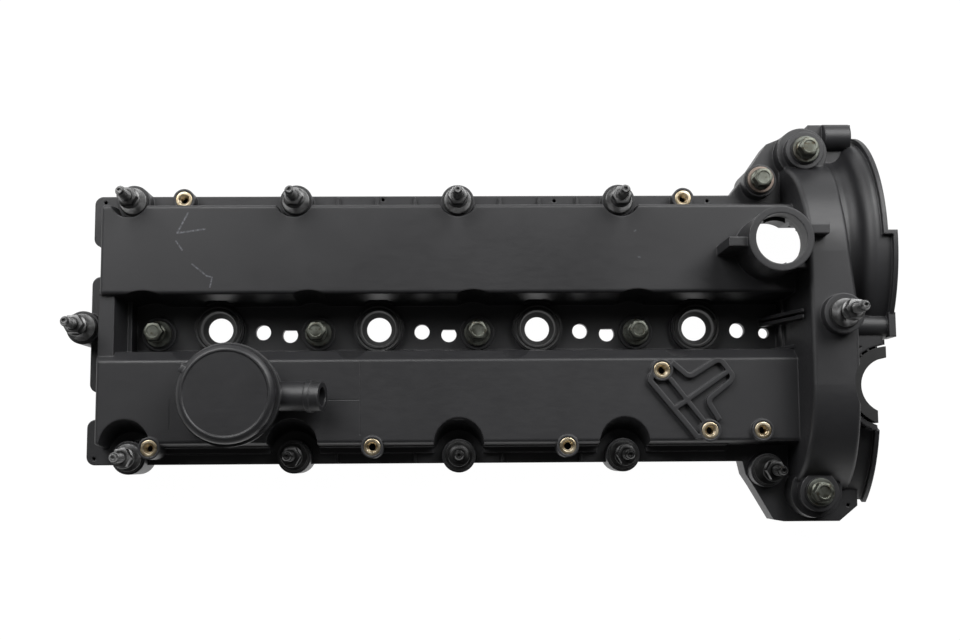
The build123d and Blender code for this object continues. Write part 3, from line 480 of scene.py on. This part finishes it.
class Finish(Builder):
    """A small builder for a material's nodes."""

    def __init__(self, name):
        self.material = bpy.data.materials.new(name)
        self.material.use_nodes = True
        super().__init__(self.material.node_tree)
        self.shader = self.nodes["Principled BSDF"]
        self.place = self.nodes.new("ShaderNodeTexCoord").outputs["Object"]

    def noise(self, scale, detail, stretch=None):
        """A noise value over the piece."""
        place = self.place
        if stretch:
            mapping = self.nodes.new("ShaderNodeMapping")
            self.links.new(place, mapping.inputs["Vector"])
            mapping.inputs["Scale"].default_value = stretch
            place = mapping.outputs[0]
        node = self.nodes.new("ShaderNodeTexNoise")
        self.links.new(place, node.inputs["Vector"])
        node.inputs["Scale"].default_value = scale
        node.inputs["Detail"].default_value = detail
        node.inputs["Roughness"].default_value = NOISE_ROUGHNESS
        return node.outputs[0]

    def span(self, source, low, high, new_low, new_high, smooth=False):
        """A value carried from one range to another and held there."""
        node = self.nodes.new("ShaderNodeMapRange")
        node.interpolation_type = "SMOOTHSTEP" if smooth else "LINEAR"
        self.plug(node.inputs[0], source)
        for socket, value in zip(node.inputs[1:5], (low, high, new_low, new_high)):
            socket.default_value = value
        return node.outputs[0]

    def vector(self, operation, a, b, output=0):
        """A Vector Math node's result."""
        node = self.nodes.new("ShaderNodeVectorMath")
        node.operation = operation
        self.plug(node.inputs[0], a)
        self.plug(node.inputs[1], b)
        return node.outputs[output]

    def mix(self, factor, a, b):
        """A colour between two others."""
        node = self.nodes.new("ShaderNodeMix")
        node.data_type = "RGBA"
        self.plug(node.inputs["Factor"], factor)
        for name, source in (("A", a), ("B", b)):
            socket = next(s for s in node.inputs if s.name == name and s.type == "RGBA")
            self.plug(socket, (*source, 1.0) if isinstance(source, tuple) else source)
        return next(s for s in node.outputs if s.type == "RGBA")

    def bump(self, height, strength, distance, normal):
        """A normal bumped further by a height."""
        node = self.nodes.new("ShaderNodeBump")
        node.inputs["Strength"].default_value = strength
        node.inputs["Distance"].default_value = distance
        self.plug(node.inputs["Height"], height)
        self.plug(node.inputs["Normal"], normal)
        return node.outputs[0]

    def soft_edge(self, radius):
        """(the normal rounded over edges, how near a raised or sunk edge is from 0 to 1)."""
        flat, sharp = 0.995, 0.8
        bevel = self.nodes.new("ShaderNodeBevel")
        bevel.samples = 6
        bevel.inputs["Radius"].default_value = radius
        plain = self.nodes.new("ShaderNodeNewGeometry").outputs["Normal"]
        likeness = self.vector("DOT_PRODUCT", bevel.outputs[0], plain, output=1)
        return bevel.outputs[0], self.span(likeness, flat, sharp, 0.0, 1.0, smooth=True)

    def line(self, start, end, width):
        """A soft line between two points given in metres, from 0 to 1."""
        core_width = width * 0.35
        start, end = Vector(start), Vector(end)
        way = end - start
        away = self.vector("SUBTRACT", self.place, tuple(start))
        reached = self.vector("DOT_PRODUCT", away, tuple(way), output=1)
        share = self.maths("DIVIDE", reached, way.length_squared)
        held = self.span(share, 0.0, 1.0, 0.0, 1.0)
        along = self.nodes.new("ShaderNodeVectorMath")
        along.operation = "SCALE"
        along.inputs[0].default_value = tuple(way)
        self.links.new(held, along.inputs["Scale"])
        distance = self.vector("DISTANCE", away, along.outputs[0], output=1)
        return self.span(distance, core_width, width, 1.0, 0.0, smooth=True)

    def path(self, points, height, width):
        """Soft lines along the (x, y) points of a path at one height."""
        pairs = zip(points, points[1:])
        return [self.line((*start, height), (*end, height), width) for start, end in pairs]

    def strongest(self, values):
        """The largest of several values."""
        top = values[0]
        for value in values[1:]:
            top = self.maths("MAXIMUM", top, value)
        return top


def nylon(name, colour, pale, roughness, edge_radius, marks=None):
    """Glass-filled nylon: fine grain, cloudy gloss, softened pale edges and faint marks, the pale edges
    partly wear and partly painted highlight.
    """
    finish = Finish(name)
    cloud = finish.noise(9, 4)
    grain = finish.noise(2600, 2)
    fibre = finish.noise(420, 3, stretch=(0.35, 1.0, 1.0))
    normal, edge = finish.soft_edge(edge_radius)
    base = finish.mix(finish.span(cloud, 0.35, 0.68, 0.0, 1.0), toned(colour, 0.8), colour)
    # Painted highlight, partly real wear: raised and sunk edges are made paler.
    base = finish.mix(finish.maths("MULTIPLY", edge, 0.55), base, pale)
    rough = finish.span(cloud, 0.3, 0.7, roughness - 0.05, roughness + 0.05)
    rough = finish.maths("ADD", rough, finish.span(fibre, 0.3, 0.7, -0.03, 0.03))
    height = finish.maths("ADD", grain, finish.maths("MULTIPLY", fibre, 0.6))
    bumped = finish.bump(height, 0.22, 0.12 * MM, normal)
    if marks:
        scratches, seams = marks(finish)
        broken = finish.span(finish.noise(900, 2), 0.38, 0.6, 0.15, 0.8)
        scratched = finish.maths("MULTIPLY", finish.strongest(scratches), broken)
        base = finish.mix(scratched, base, SCRATCH_COLOUR)
        if seams:
            level = finish.maths("SUBTRACT", 1.0, finish.strongest(seams))
            bumped = finish.bump(level, 0.5, 0.25 * MM, bumped)
    finish.plug(finish.shader.inputs["Base Color"], base)
    finish.plug(finish.shader.inputs["Roughness"], rough)
    finish.plug(finish.shader.inputs["Normal"], bumped)
    finish.shader.inputs["IOR"].default_value = 1.53
    return finish.material


def metal(name, colour, shade, roughness, fleck=None, stain_and_shade_zones=()):
    """Plated steel or brass with turning marks, stains and softened edges, the edges made lighter by wear and
    a painted highlight, and zones of colour at some places: a real stain in one use, painted shade in
    another.
    """
    finish = Finish(name)
    stain = finish.noise(160, 4)
    fine = finish.noise(1500, 3, stretch=(1.0, 1.0, 6.0))
    normal, edge = finish.soft_edge(0.3 * MM)
    base = finish.mix(finish.span(stain, 0.38, 0.66, 0.0, 1.0), shade, colour)
    if fleck:
        spots = finish.span(finish.noise(340, 4), 0.56, 0.66, 0.0, 0.7, smooth=True)
        base = finish.mix(spots, base, fleck)
    # Painted highlight, partly real wear: edges are made brighter than the plate.
    base = finish.mix(finish.maths("MULTIPLY", edge, 0.5), base, toned(colour, 1.7))
    zone_top, zone_width = 100 * MM, 30 * MM
    # Each zone lays its colour round vertical posts: a stain on one washer, painted shade on the front row of
    # studs.
    for spots, tint, share in stain_and_shade_zones:
        posts = [finish.line((x, y, 0), (x, y, zone_top), zone_width) for x, y in spots]
        base = finish.mix(finish.maths("MULTIPLY", finish.strongest(posts), share), base, tint)
    rough = finish.span(stain, 0.3, 0.7, roughness - 0.08, roughness + 0.1)
    finish.plug(finish.shader.inputs["Base Color"], base)
    finish.plug(finish.shader.inputs["Roughness"], rough)
    finish.plug(finish.shader.inputs["Normal"], finish.bump(fine, 0.2, 0.05 * MM, normal))
    finish.shader.inputs["Metallic"].default_value = 1.0
    return finish.material


def rubber(name, colour, roughness, marks=None):
    """Moulded rubber with a dusty bloom, edges made paler by wear and a painted highlight, and painted shade
    where a function gives a mask.
    """
    finish = Finish(name)
    bloom = finish.noise(70, 5)
    grain = finish.noise(1800, 2)
    normal, edge = finish.soft_edge(0.4 * MM)
    base = finish.mix(finish.span(bloom, 0.42, 0.72, 0.0, 0.6), colour, toned(colour, 2.2))
    # Painted highlight, partly real wear: edges are made paler.
    base = finish.mix(finish.maths("MULTIPLY", edge, 0.3), base, toned(colour, 3.5))
    if marks:
        # Painted shade: the rubber is darkened where the mask is high.
        base = finish.mix(marks(finish), base, toned(colour, 0.15))
    rough = finish.span(bloom, 0.3, 0.7, roughness - 0.06, roughness + 0.06)
    finish.plug(finish.shader.inputs["Base Color"], base)
    finish.plug(finish.shader.inputs["Roughness"], rough)
    finish.plug(finish.shader.inputs["Normal"], finish.bump(grain, 0.25, 0.1 * MM, normal))
    return finish.material


def cover_marks(finish):
    """Scratches and moulding seams on the tops of the ridges."""
    hooked = ((-0.1575, 0.0654), (-0.1637, 0.0536), (-0.1475, 0.0559))
    short = ((-0.1642, 0.0489), (-0.1606, 0.0436))
    curved = ((-0.1547, 0.0353), (-0.1459, 0.0282), (-0.1430, 0.0276), (-0.1441, 0.0218))
    upper_speck = ((0.1037, 0.0540), (0.1043, 0.0542))
    lower_speck = ((0.1058, 0.0386), (0.1064, 0.0384))
    scratches = finish.path(hooked, ridge_top, 0.7 * MM)
    for points in (short, curved):
        scratches += finish.path(points, ridge_top, 0.6 * MM)
    for points in (upper_speck, lower_speck):
        scratches += finish.path(points, ridge_top, 0.8 * MM)
    main_seam = ((-0.0569, -0.0223), (-0.0569, -0.0640))
    cross_seam = ((-0.0770, -0.0441), (-0.0569, -0.0441))
    end_seam = ((-0.1663, -0.0436), (-0.1663, -0.0608))
    seams = finish.path(main_seam, ridge_top, 0.5 * MM)
    for points in (cross_seam, end_seam):
        seams += finish.path(points, ridge_top, 0.4 * MM)
    return scratches, seams


def nearest_turn(finish, value, step):
    """How far a value lies from the nearest whole number of steps."""
    shifted = finish.maths("ADD", value, step / 2)
    return finish.maths("SUBTRACT", finish.maths("FLOORED_MODULO", shifted, step), step / 2)


def seal_pocket_shade(finish):
    """Painted shade: six small dark spots round the face of each injector seal, standing for the shade in
    small sunk pockets.
    """
    ring_radius = 11.8 * MM
    half_wide, wide_end = 0.9 * MM, 1.3 * MM
    half_deep, deep_end = 0.35 * MM, 0.6 * MM
    below_face, face = 12.4 * MM, 12.8 * MM
    first, second = centre_of("injector_seal_1"), centre_of("injector_seal_2")
    split = finish.nodes.new("ShaderNodeSeparateXYZ")
    finish.links.new(finish.place, split.inputs[0])
    along = nearest_turn(finish, finish.maths("SUBTRACT", split.outputs["X"], first.x), second.x - first.x)
    across = finish.maths("SUBTRACT", split.outputs["Y"], first.y)
    squares = [finish.maths("POWER", part, 2) for part in (along, across)]
    radius = finish.maths("SQRT", finish.maths("ADD", *squares))
    angle = finish.maths("ADD", finish.maths("ARCTAN2", across, along), math.pi / 2)
    off_angle = finish.maths("ABSOLUTE", nearest_turn(finish, angle, math.pi / 3))
    side = finish.maths("MULTIPLY", off_angle, radius)
    rim = finish.maths("ABSOLUTE", finish.maths("SUBTRACT", radius, ring_radius))
    wide = finish.span(side, half_wide, wide_end, 1.0, 0.0)
    deep = finish.span(rim, half_deep, deep_end, 1.0, 0.0)
    high = finish.span(split.outputs["Z"], below_face, face, 0.0, 1.0)
    return finish.maths("MULTIPLY", finish.maths("MULTIPLY", wide, deep), high)


def dress(node, material):
    """Give a CAD node its material."""
    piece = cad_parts[node]
    piece.data.materials.clear()
    piece.data.materials.append(material)


def named_material(name, maker, *values):
    """A material, made once."""
    return bpy.data.materials.get(name) or maker(name, *values)


def dark_rubber():
    """The rubber of the seals and rings."""
    return named_material("dark_rubber", rubber, (0.012, 0.012, 0.012), 0.6)


def plated_steel():
    """Grey zinc plate of the plain bolts."""
    bright, dull = (0.18, 0.19, 0.165), (0.08, 0.082, 0.068)
    return named_material("zinc_plate", metal, bright, dull, 0.42, BROWN_FLECK)


def washer_steel():
    """Grey zinc plate of the plain bolts' washers, one of them stained brown."""
    middle = centre_of("flange_bolt_5")
    stained = (((middle.x, middle.y),), (0.21, 0.165, 0.14), 0.8)
    bright, dull = (0.17, 0.18, 0.16), (0.07, 0.072, 0.062)
    return named_material("washer_plate", metal, bright, dull, 0.5, BROWN_FLECK, (stained,))


def dark_steel():
    """Dark plated steel of the stud bolts and their washers, with painted shade that makes the front row
    blackest.
    """
    front = [centre_of(f"stud_bolt_{k}") for k in (7, 8, 9, 10)]
    # Painted shade: the front row of studs and washers is darkened where it stands in shadow.
    front_row_shade = ([(place.x, place.y) for place in front], (0.014, 0.014, 0.014), 0.85)
    bright, dull = (0.24, 0.24, 0.24), (0.10, 0.10, 0.10)
    return named_material("dark_plate", metal, bright, dull, 0.42, None, (front_row_shade,))


# Operators


class COVER_OT_shell(bpy.types.Operator):
    """Finish the moulded shell, its hidden baffle and the low walls beside the filler neck"""

    bl_idname = "cover.shell"
    bl_label = "Finish the shell"

    def execute(self, context):
        finish = context.scene.cover_finish
        colour, pale = tuple(finish.nylon), tuple(finish.pale)
        shell = nylon("cover_nylon", colour, pale, finish.roughness, finish.edge_radius, cover_marks)
        dress("cover_shell", shell)
        plain = nylon("baffle_nylon", colour, pale, finish.roughness, finish.edge_radius * 0.4)
        dress("oil_baffle", plain)
        verts, faces = neck_web_shape()
        web = new_object("neck_web", mesh_from("neck_web", verts, faces))
        web.data.materials.append(shell)
        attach(web, COVER)
        return {"FINISHED"}


def neck_web_shape():
    """Low walls over the openings beside the filler neck, the back one covered down to 53 mm."""
    neck_y, arch_x = 43 * MM, 200.2 * MM
    high = 61.5 * MM
    plate_x, plate_half, plate_low = 197 * MM, 12 * MM, 59.2 * MM
    outer_x, outer_far, outer_near = 192 * MM, 14.2 * MM, 11 * MM
    inner_x, inner_far, inner_near = 195.4 * MM, 12 * MM, 8.5 * MM
    front_low, back_low = 41 * MM, 53 * MM
    plate = soft_block(plate_x, arch_x, neck_y - plate_half, neck_y + plate_half, plate_low, high, 0.4 * MM)
    shapes = [plate]
    for side, low in ((-1, front_low), (1, back_low)):
        outer = sorted((neck_y + side * outer_far, neck_y + side * outer_near))
        inner = sorted((neck_y + side * inner_far, neck_y + side * inner_near))
        shapes.append(soft_block(outer_x, arch_x, *outer, low, high, 0.8 * MM))
        shapes.append(soft_block(inner_x, arch_x, *inner, low, high, 0.6 * MM))
    return joined(*shapes)


class COVER_OT_rubber(bpy.types.Operator):
    """Finish the gaskets, the diaphragm and the rubber lining of the notch"""

    bl_idname = "cover.rubber"
    bl_label = "Finish the gaskets"

    def execute(self, context):
        gasket = named_material("gasket_rubber", rubber, (0.02, 0.02, 0.021), 0.5)
        for node in ("perimeter_gasket", "valley_gasket", "breather_diaphragm"):
            dress(node, gasket)
        dress("notch_seal", dark_rubber())
        return {"FINISHED"}


class COVER_OT_valve(bpy.types.Operator):
    """Finish the breather's plate and spring"""

    bl_idname = "cover.valve"
    bl_label = "Finish the breather valve"

    def execute(self, context):
        finish = context.scene.cover_finish
        plate = nylon("plate_nylon", tuple(finish.nylon), tuple(finish.pale), finish.roughness, 0.3 * MM)
        dress("valve_plate", plate)
        bright, dull = (0.55, 0.55, 0.53), (0.35, 0.35, 0.33)
        dress("valve_spring", named_material("spring_wire", metal, bright, dull, 0.28))
        return {"FINISHED"}


class COVER_OT_lid(bpy.types.Operator):
    """Make the round lid of the breather"""

    bl_idname = "cover.lid"
    bl_label = "Make the breather lid"

    def execute(self, context):
        finish = context.scene.cover_finish
        verts, faces = joined(lathe(lid_profile(), segments=96), lid_tab())
        verts = [(x + lid_centre.x, y + lid_centre.y, z) for x, y, z in verts]
        piece = new_object("breather_lid", mesh_from("breather_lid", verts, faces))
        colour, pale = tuple(finish.nylon), tuple(finish.pale)
        roughness = finish.roughness - 0.04
        piece.data.materials.append(nylon("lid_nylon", colour, pale, roughness, 0.6 * MM, lid_marks))
        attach(piece, COVER)
        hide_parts("breather_cap")
        return {"FINISHED"}


def lid_profile():
    """The lid's section: a dished top with a raised bead, a round shoulder, a skirt and a middle post."""
    low, high = lid_low.z, lid_high.z
    dish = high - 0.5 * MM
    shoulder = high - 2.2 * MM
    underside = high - 2.4 * MM
    skirt_foot = low + 1.6 * MM
    skirt_seat = low + 1.3 * MM
    rim_seat = low + 1.25 * MM
    post_foot = low + 1.55 * MM
    skirt_out, skirt_in = lid_radius - 0.5 * MM, lid_radius - 1.1 * MM
    wall_in = lid_radius - 3.8 * MM
    bead_out, bead_in, dish_out = lid_radius - 2.7 * MM, lid_radius - 3.9 * MM, lid_radius - 4.4 * MM
    post = 5 * MM
    section = [
        (0, dish),
        (dish_out, dish),
        (bead_in, high, True),
        (bead_out, high, True),
        (lid_radius, shoulder, True),
        (lid_radius, skirt_foot),
        (skirt_out, skirt_seat),
        (skirt_out, low),
        (skirt_in, low),
        (skirt_in, rim_seat),
        (wall_in, rim_seat),
        (wall_in, underside),
        (post, underside),
        (post, post_foot),
        (0, post_foot),
    ]
    return rounded(section, 1.4 * MM)


def lid_tab():
    """The small tab on the lid's side."""
    inner, outer, half = lid_radius - 2.6 * MM, lid_radius + 1.6 * MM, 2.4 * MM
    low, high = lid_high.z - 6 * MM, lid_high.z - 1.2 * MM
    return turned(soft_block(inner, outer, -half, half, low, high, 0.7 * MM), math.radians(150))


def lid_marks(finish):
    """Faint scuffs on the lid, and no seams."""
    x, y = lid_centre.x, lid_centre.y
    left = ((x - 0.012, y + 0.006), (x - 0.004, y - 0.001))
    right = ((x + 0.004, y + 0.010), (x + 0.010, y + 0.003))
    front = ((x - 0.003, y - 0.011), (x + 0.006, y - 0.014))
    scuffs = finish.path(left, lid_high.z, 0.5 * MM)
    for points in (right, front):
        scuffs += finish.path(points, lid_high.z, 0.4 * MM)
    return [finish.maths("MULTIPLY", scuff, 0.35) for scuff in scuffs], []


def fastener_places(nodes, head_height):
    """(x, y, height under the collar, length below it) for each bolt node."""
    places = []
    for node in nodes:
        low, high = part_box(node)
        seat = high.z - head_height
        places.append(((low.x + high.x) / 2, (low.y + high.y) / 2, seat, seat - low.z))
    return places


def head_shape(sizes):
    """The collar and hexagon of a bolt, from the collar's underside at height 0."""
    apothem = sizes.across_flats / 2
    out, top = sizes.collar_radius, sizes.collar_height
    rim_top = top * 0.55
    cone_top = apothem * 1.05
    section = [(0, 0), (out, 0, True), (out, rim_top, True), (cone_top, top), (0, top)]
    collar = lathe(rounded(section, 0.35 * MM), segments=48)
    return joined(collar, hex_head(apothem, top * 0.9, top + sizes.hex_height))


def shank_shape(sizes):
    """The plain shank below a collar, one metre long before it is scaled."""
    radius = sizes.thread_radius * 0.88
    tip_radius = radius * 0.8
    tip_start = -0.985
    section = [(0, -1.0), (tip_radius, -1.0), (radius, tip_start), (radius, 0), (0, 0)]
    return lathe(section, segments=24)


class COVER_OT_studs(bpy.types.Operator):
    """Make the bolts that carry an upper threaded stud"""

    bl_idname = "cover.studs"
    bl_label = "Make the stud bolts"

    def execute(self, context):
        sizes = context.scene.cover_fasteners
        base = sizes.collar_height + sizes.hex_height
        tip = 2 * MM
        rod_length = sizes.stud_length - tip
        thread = threaded_rod(sizes.thread_radius, sizes.thread_pitch, sizes.thread_depth, rod_length)
        core = sizes.thread_radius - sizes.thread_depth
        section = [
            (0, 0),
            (core, 0),
            (core * 0.8, tip * 0.8),
            (core * 0.72, tip),
            (core * 0.42, tip),
            (core * 0.36, tip * 0.45),
            (0, tip * 0.4),
        ]
        point = lathe(section, segments=24)
        head = joined(head_shape(sizes), moved(thread, base), moved(point, base + rod_length))
        places = fastener_places(stud_nodes, base + sizes.stud_length)
        row_of("stud_bolts", places, head, shank_shape(sizes), dark_steel(), stud_nodes)
        return {"FINISHED"}


class COVER_OT_bolts(bpy.types.Operator):
    """Make the plain hexagon bolts"""

    bl_idname = "cover.bolts"
    bl_label = "Make the flange bolts"

    def execute(self, context):
        sizes = context.scene.cover_fasteners
        places = fastener_places(bolt_nodes, sizes.collar_height + sizes.hex_height)
        head, shank = head_shape(sizes), shank_shape(sizes)
        row_of("flange_bolts", places, head, shank, plated_steel(), bolt_nodes)
        return {"FINISHED"}


def washer_places(bolts, sleeves, reach):
    """(x, y, height of the sleeve's top, length of the sleeve) under each bolt node."""
    corners = [vertex.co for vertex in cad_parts[sleeves].data.vertices]
    places = []
    for node in bolts:
        x, y, _ = centre_of(node)
        heights = [corner.z for corner in corners if math.hypot(corner.x - x, corner.y - y) < reach]
        places.append((x, y, max(heights), max(heights) - min(heights)))
    return places


class COVER_OT_washers(bpy.types.Operator):
    """Make the flanged sleeves and the rubber rings under them"""

    bl_idname = "cover.washers"
    bl_label = "Make the sleeves and rings"

    def execute(self, context):
        sizes = context.scene.cover_fasteners
        wide, thick = sizes.washer_radius, sizes.washer_height
        bore, tube = sizes.sleeve_bore, sizes.sleeve_radius
        bore_lip, lip_depth = bore * 1.08, 0.15 * MM
        section = [(bore, -thick), (wide, -thick, True), (wide, 0, True), (bore_lip, 0), (bore, -lip_depth)]
        flange = lathe(rounded(section, 0.4 * MM), segments=56)
        # The sleeve's tube is one metre long before the row scales it
        top_gap = 0.001
        sleeve = lathe([(bore, -1.0), (tube, -1.0), (tube, -top_gap), (bore, -top_gap)], segments=28)
        ring_out, ring_high = sizes.ring_radius, sizes.ring_height
        ring_bore = tube + 0.05 * MM
        ring_edge = ring_out - 0.12 * MM
        section = [
            (ring_bore, -ring_high),
            (ring_edge, -ring_high, True),
            (ring_out, -ring_high / 2),
            (ring_edge, 0, True),
            (ring_bore, 0),
        ]
        ring = lathe(rounded(section, 0.3 * MM), segments=56)
        reach = wide + 1 * MM
        kinds = (("stud", stud_nodes, dark_steel()), ("bolt", bolt_nodes, washer_steel()))
        for kind, bolts, material in kinds:
            places = washer_places(bolts, kind + "_sleeves", reach)
            row_of(kind + "_washers", places, flange, sleeve, material, [kind + "_sleeves"])
            under = [(x, y, top - thick, 0.0) for x, y, top, _ in places]
            row_of(kind + "_rings", under, ring, NO_LOWER_PART, dark_rubber(), [kind + "_grommets"])
        return {"FINISHED"}


class COVER_OT_inserts(bpy.types.Operator):
    """Make the brass threaded inserts"""

    bl_idname = "cover.inserts"
    bl_label = "Make the inserts"

    def execute(self, context):
        low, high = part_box("insert_1")
        radius, length = (high.x - low.x) / 2, high.z - low.z
        bore = 2.5 * MM
        chamfer = 0.3 * MM
        mouth, mouth_depth = bore + 0.75 * MM, 0.8 * MM
        waist, waist_top, waist_foot = radius - 0.5 * MM, -length * 0.42, -length * 0.58
        section = [
            (mouth, 0),
            (radius - chamfer, 0, True),
            (radius, -chamfer),
            (radius, waist_top),
            (waist, waist_top),
            (waist, waist_foot),
            (radius, waist_foot),
            (radius, -length),
            (bore, -length),
            (bore, -mouth_depth),
        ]
        body = rounded(section, 0.2 * MM)
        turns = []
        count = 9
        pitch = length / (count + 2)
        first_turn, turn_depth, turn_half = 1.2 * MM, 0.35 * MM, 0.3 * pitch
        for k in range(count):
            height = -first_turn - k * pitch
            turns.append((bore, height + turn_half))
            turns.append((bore - turn_depth, height))
            turns.append((bore, height - turn_half))
        profile = body[:-1] + list(reversed(turns)) + body[-1:]
        places = []
        for node in insert_nodes:
            middle = centre_of(node)
            places.append((middle.x, middle.y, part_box(node)[1].z, 0.0))
        shape = lathe(profile, segments=48)
        bright, dull = (0.88, 0.77, 0.57), (0.62, 0.5, 0.32)
        brass = named_material("turned_brass", metal, bright, dull, 0.32)
        row_of("thread_inserts", places, shape, NO_LOWER_PART, brass, insert_nodes)
        return {"FINISHED"}


class COVER_OT_seals(bpy.types.Operator):
    """Make the rubber seals of the injector rings"""

    bl_idname = "cover.seals"
    bl_label = "Make the injector seals"

    def execute(self, context):
        low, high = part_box("injector_seal_1")
        out, deep = (high.x - low.x) / 2, high.z - low.z
        wall, throat, lip = 12.5 * MM, 10.2 * MM, 7.4 * MM
        foot, collar, throat_end = deep - 1.6 * MM, 1.4 * MM, 5.6 * MM
        groove_out, groove_in, groove_depth = 13.4 * MM, 12.1 * MM, 0.5 * MM
        groove_side = 0.3 * MM
        face_in, mouth, mouth_depth = 11 * MM, 10.5 * MM, 1 * MM
        section = [
            (throat + 0.2 * MM, -foot),
            (wall, -foot),
            (wall, -collar),
            (out, -collar, True),
            (out, 0, True),
            (groove_out, 0, True),
            (groove_out - groove_side, -groove_depth, True),
            (groove_in + groove_side, -groove_depth, True),
            (groove_in, 0, True),
            (face_in, 0, True),
            (mouth, -mouth_depth, True),
            (throat, -throat_end, True),
            (lip, 1.2 * MM - deep, True),
            (lip, -deep, True),
        ]
        shape = lathe(rounded(section, 0.4 * MM, steps=2), segments=72)
        places = [(centre_of(node).x, centre_of(node).y, high.z, 0.0) for node in seal_nodes]
        soft = named_material("seal_rubber", rubber, (0.013, 0.013, 0.013), 0.5, seal_pocket_shade)
        row_of("injector_seals", places, shape, NO_LOWER_PART, soft, seal_nodes)
        return {"FINISHED"}


class COVER_OT_studio(bpy.types.Operator):
    """Set up the floor, the lights and the camera"""

    bl_idname = "cover.studio"
    bl_label = "Set up the studio"

    def execute(self, context):
        studio = context.scene.cover_studio
        scene = context.scene
        scene.view_settings.view_transform = "Standard"
        half = 6.0
        low = -0.5 * MM
        corners = [(-half, -half, low), (half, -half, low), (half, half, low), (-half, half, low)]
        floor = new_object("studio_floor", mesh_from("studio_floor", corners, [(0, 1, 2, 3)], smooth=False))
        floor.data.materials.append(floor_material())
        world = bpy.data.worlds.new("studio_world")
        scene.world = world
        world.use_nodes = True
        light_world(world.node_tree, studio.room)
        key_size, fill_size = 0.8, 1.2
        right_share = 1.15
        soft_light("left_key", (-0.55, 0.72, 0.78), key_size, studio.key_power)
        soft_light("right_key", (0.6, 0.72, 0.78), key_size, studio.key_power * right_share)
        soft_light("front_fill", (-0.5, -0.9, 1.3), fill_size, studio.fill_power)
        camera = bpy.data.cameras.new("photo_camera")
        camera.sensor_width = 36
        camera.lens = studio.lens
        camera.clip_start, camera.clip_end = 0.01, 50
        holder = bpy.data.objects.new("photo_camera", camera)
        scene.collection.objects.link(holder)
        holder.location = studio.camera_place
        holder.rotation_euler = studio.camera_turn
        scene.camera = holder
        return {"FINISHED"}


def soft_light(name, place, size, power):
    """A square soft light aimed at the origin."""
    light = bpy.data.lights.new(name, "AREA")
    light.shape = "SQUARE"
    light.size = size
    light.energy = power
    holder = bpy.data.objects.new(name, light)
    bpy.context.scene.collection.objects.link(holder)
    holder.location = place
    holder.rotation_euler = (-Vector(place)).to_track_quat("-Z", "Y").to_euler()


def seen_white(build):
    """How far a ray comes from the camera, a mirror or a clear piece, from 0 to 1."""
    path = build.nodes.new("ShaderNodeLightPath")
    total = path.outputs["Is Camera Ray"]
    for name in ("Is Glossy Ray", "Is Transmission Ray"):
        total = build.maths("MAXIMUM", total, path.outputs[name])
    return total


def blended(build, factor, first, second, output):
    """Send a mix of two shaders to the output of a tree."""
    mix = build.nodes.new("ShaderNodeMixShader")
    for socket, source in zip(mix.inputs, (factor, first, second)):
        build.links.new(source, socket)
    out = build.nodes.new(output)
    build.links.new(mix.outputs[0], out.inputs["Surface"])


def floor_material():
    """A pale floor that shows white to the camera and keeps a faint shadow."""
    material = bpy.data.materials.new("studio_floor")
    material.use_nodes = True
    build = Builder(material.node_tree)
    build.nodes.clear()
    cloth = build.nodes.new("ShaderNodeBsdfDiffuse")
    cloth.inputs["Color"].default_value = (0.82, 0.82, 0.82, 1)
    glow = build.nodes.new("ShaderNodeEmission")
    glow.inputs["Strength"].default_value = 1.04
    white_share = 0.96
    share = build.maths("MULTIPLY", seen_white(build), white_share)
    blended(build, share, cloth.outputs[0], glow.outputs[0], "ShaderNodeOutputMaterial")
    return material


def light_world(tree, strength):
    """White to the camera, and an even soft light on the object."""
    build = Builder(tree)
    build.nodes.clear()
    light = build.nodes.new("ShaderNodeBackground")
    light.inputs["Strength"].default_value = strength
    white = build.nodes.new("ShaderNodeBackground")
    path = build.nodes.new("ShaderNodeLightPath")
    camera_ray = path.outputs["Is Camera Ray"]
    blended(build, camera_ray, light.outputs[0], white.outputs[0], "ShaderNodeOutputWorld")


class COVER_PT_panel(bpy.types.Panel):
    """Lists the steps that finish the valve cover"""

    bl_idname = "COVER_PT_panel"
    bl_label = "Valve cover"
    bl_space_type = "VIEW_3D"
    bl_region_type = "UI"
    bl_category = "Valve cover"

    def draw(self, context):
        column = self.layout.column()
        for operator in operators:
            column.operator(operator.bl_idname)
        scene = context.scene
        for group in (scene.cover_finish, scene.cover_fasteners, scene.cover_studio):
            for name in group.__annotations__:
                column.prop(group, name)


operators = (
    COVER_OT_shell,
    COVER_OT_rubber,
    COVER_OT_valve,
    COVER_OT_lid,
    COVER_OT_studs,
    COVER_OT_bolts,
    COVER_OT_washers,
    COVER_OT_inserts,
    COVER_OT_seals,
    COVER_OT_studio,
)
property_groups = (CoverFinish, FastenerSizes, StudioSettings)


def register():
    """Register the classes and the scene's property groups."""
    for item in (*property_groups, *operators, COVER_PT_panel):
        bpy.utils.register_class(item)
    bpy.types.Scene.cover_finish = PointerProperty(type=CoverFinish)
    bpy.types.Scene.cover_fasteners = PointerProperty(type=FastenerSizes)
    bpy.types.Scene.cover_studio = PointerProperty(type=StudioSettings)


def unregister():
    """Remove what register added."""
    del bpy.types.Scene.cover_studio
    del bpy.types.Scene.cover_fasteners
    del bpy.types.Scene.cover_finish
    for item in reversed((*property_groups, *operators, COVER_PT_panel)):
        bpy.utils.unregister_class(item)


def main():
    """Finish every piece in order."""
    register()
    for operator in operators:
        group, name = operator.bl_idname.split(".")
        getattr(getattr(bpy.ops, group), name)()


if __name__ == "__main__":
    main()
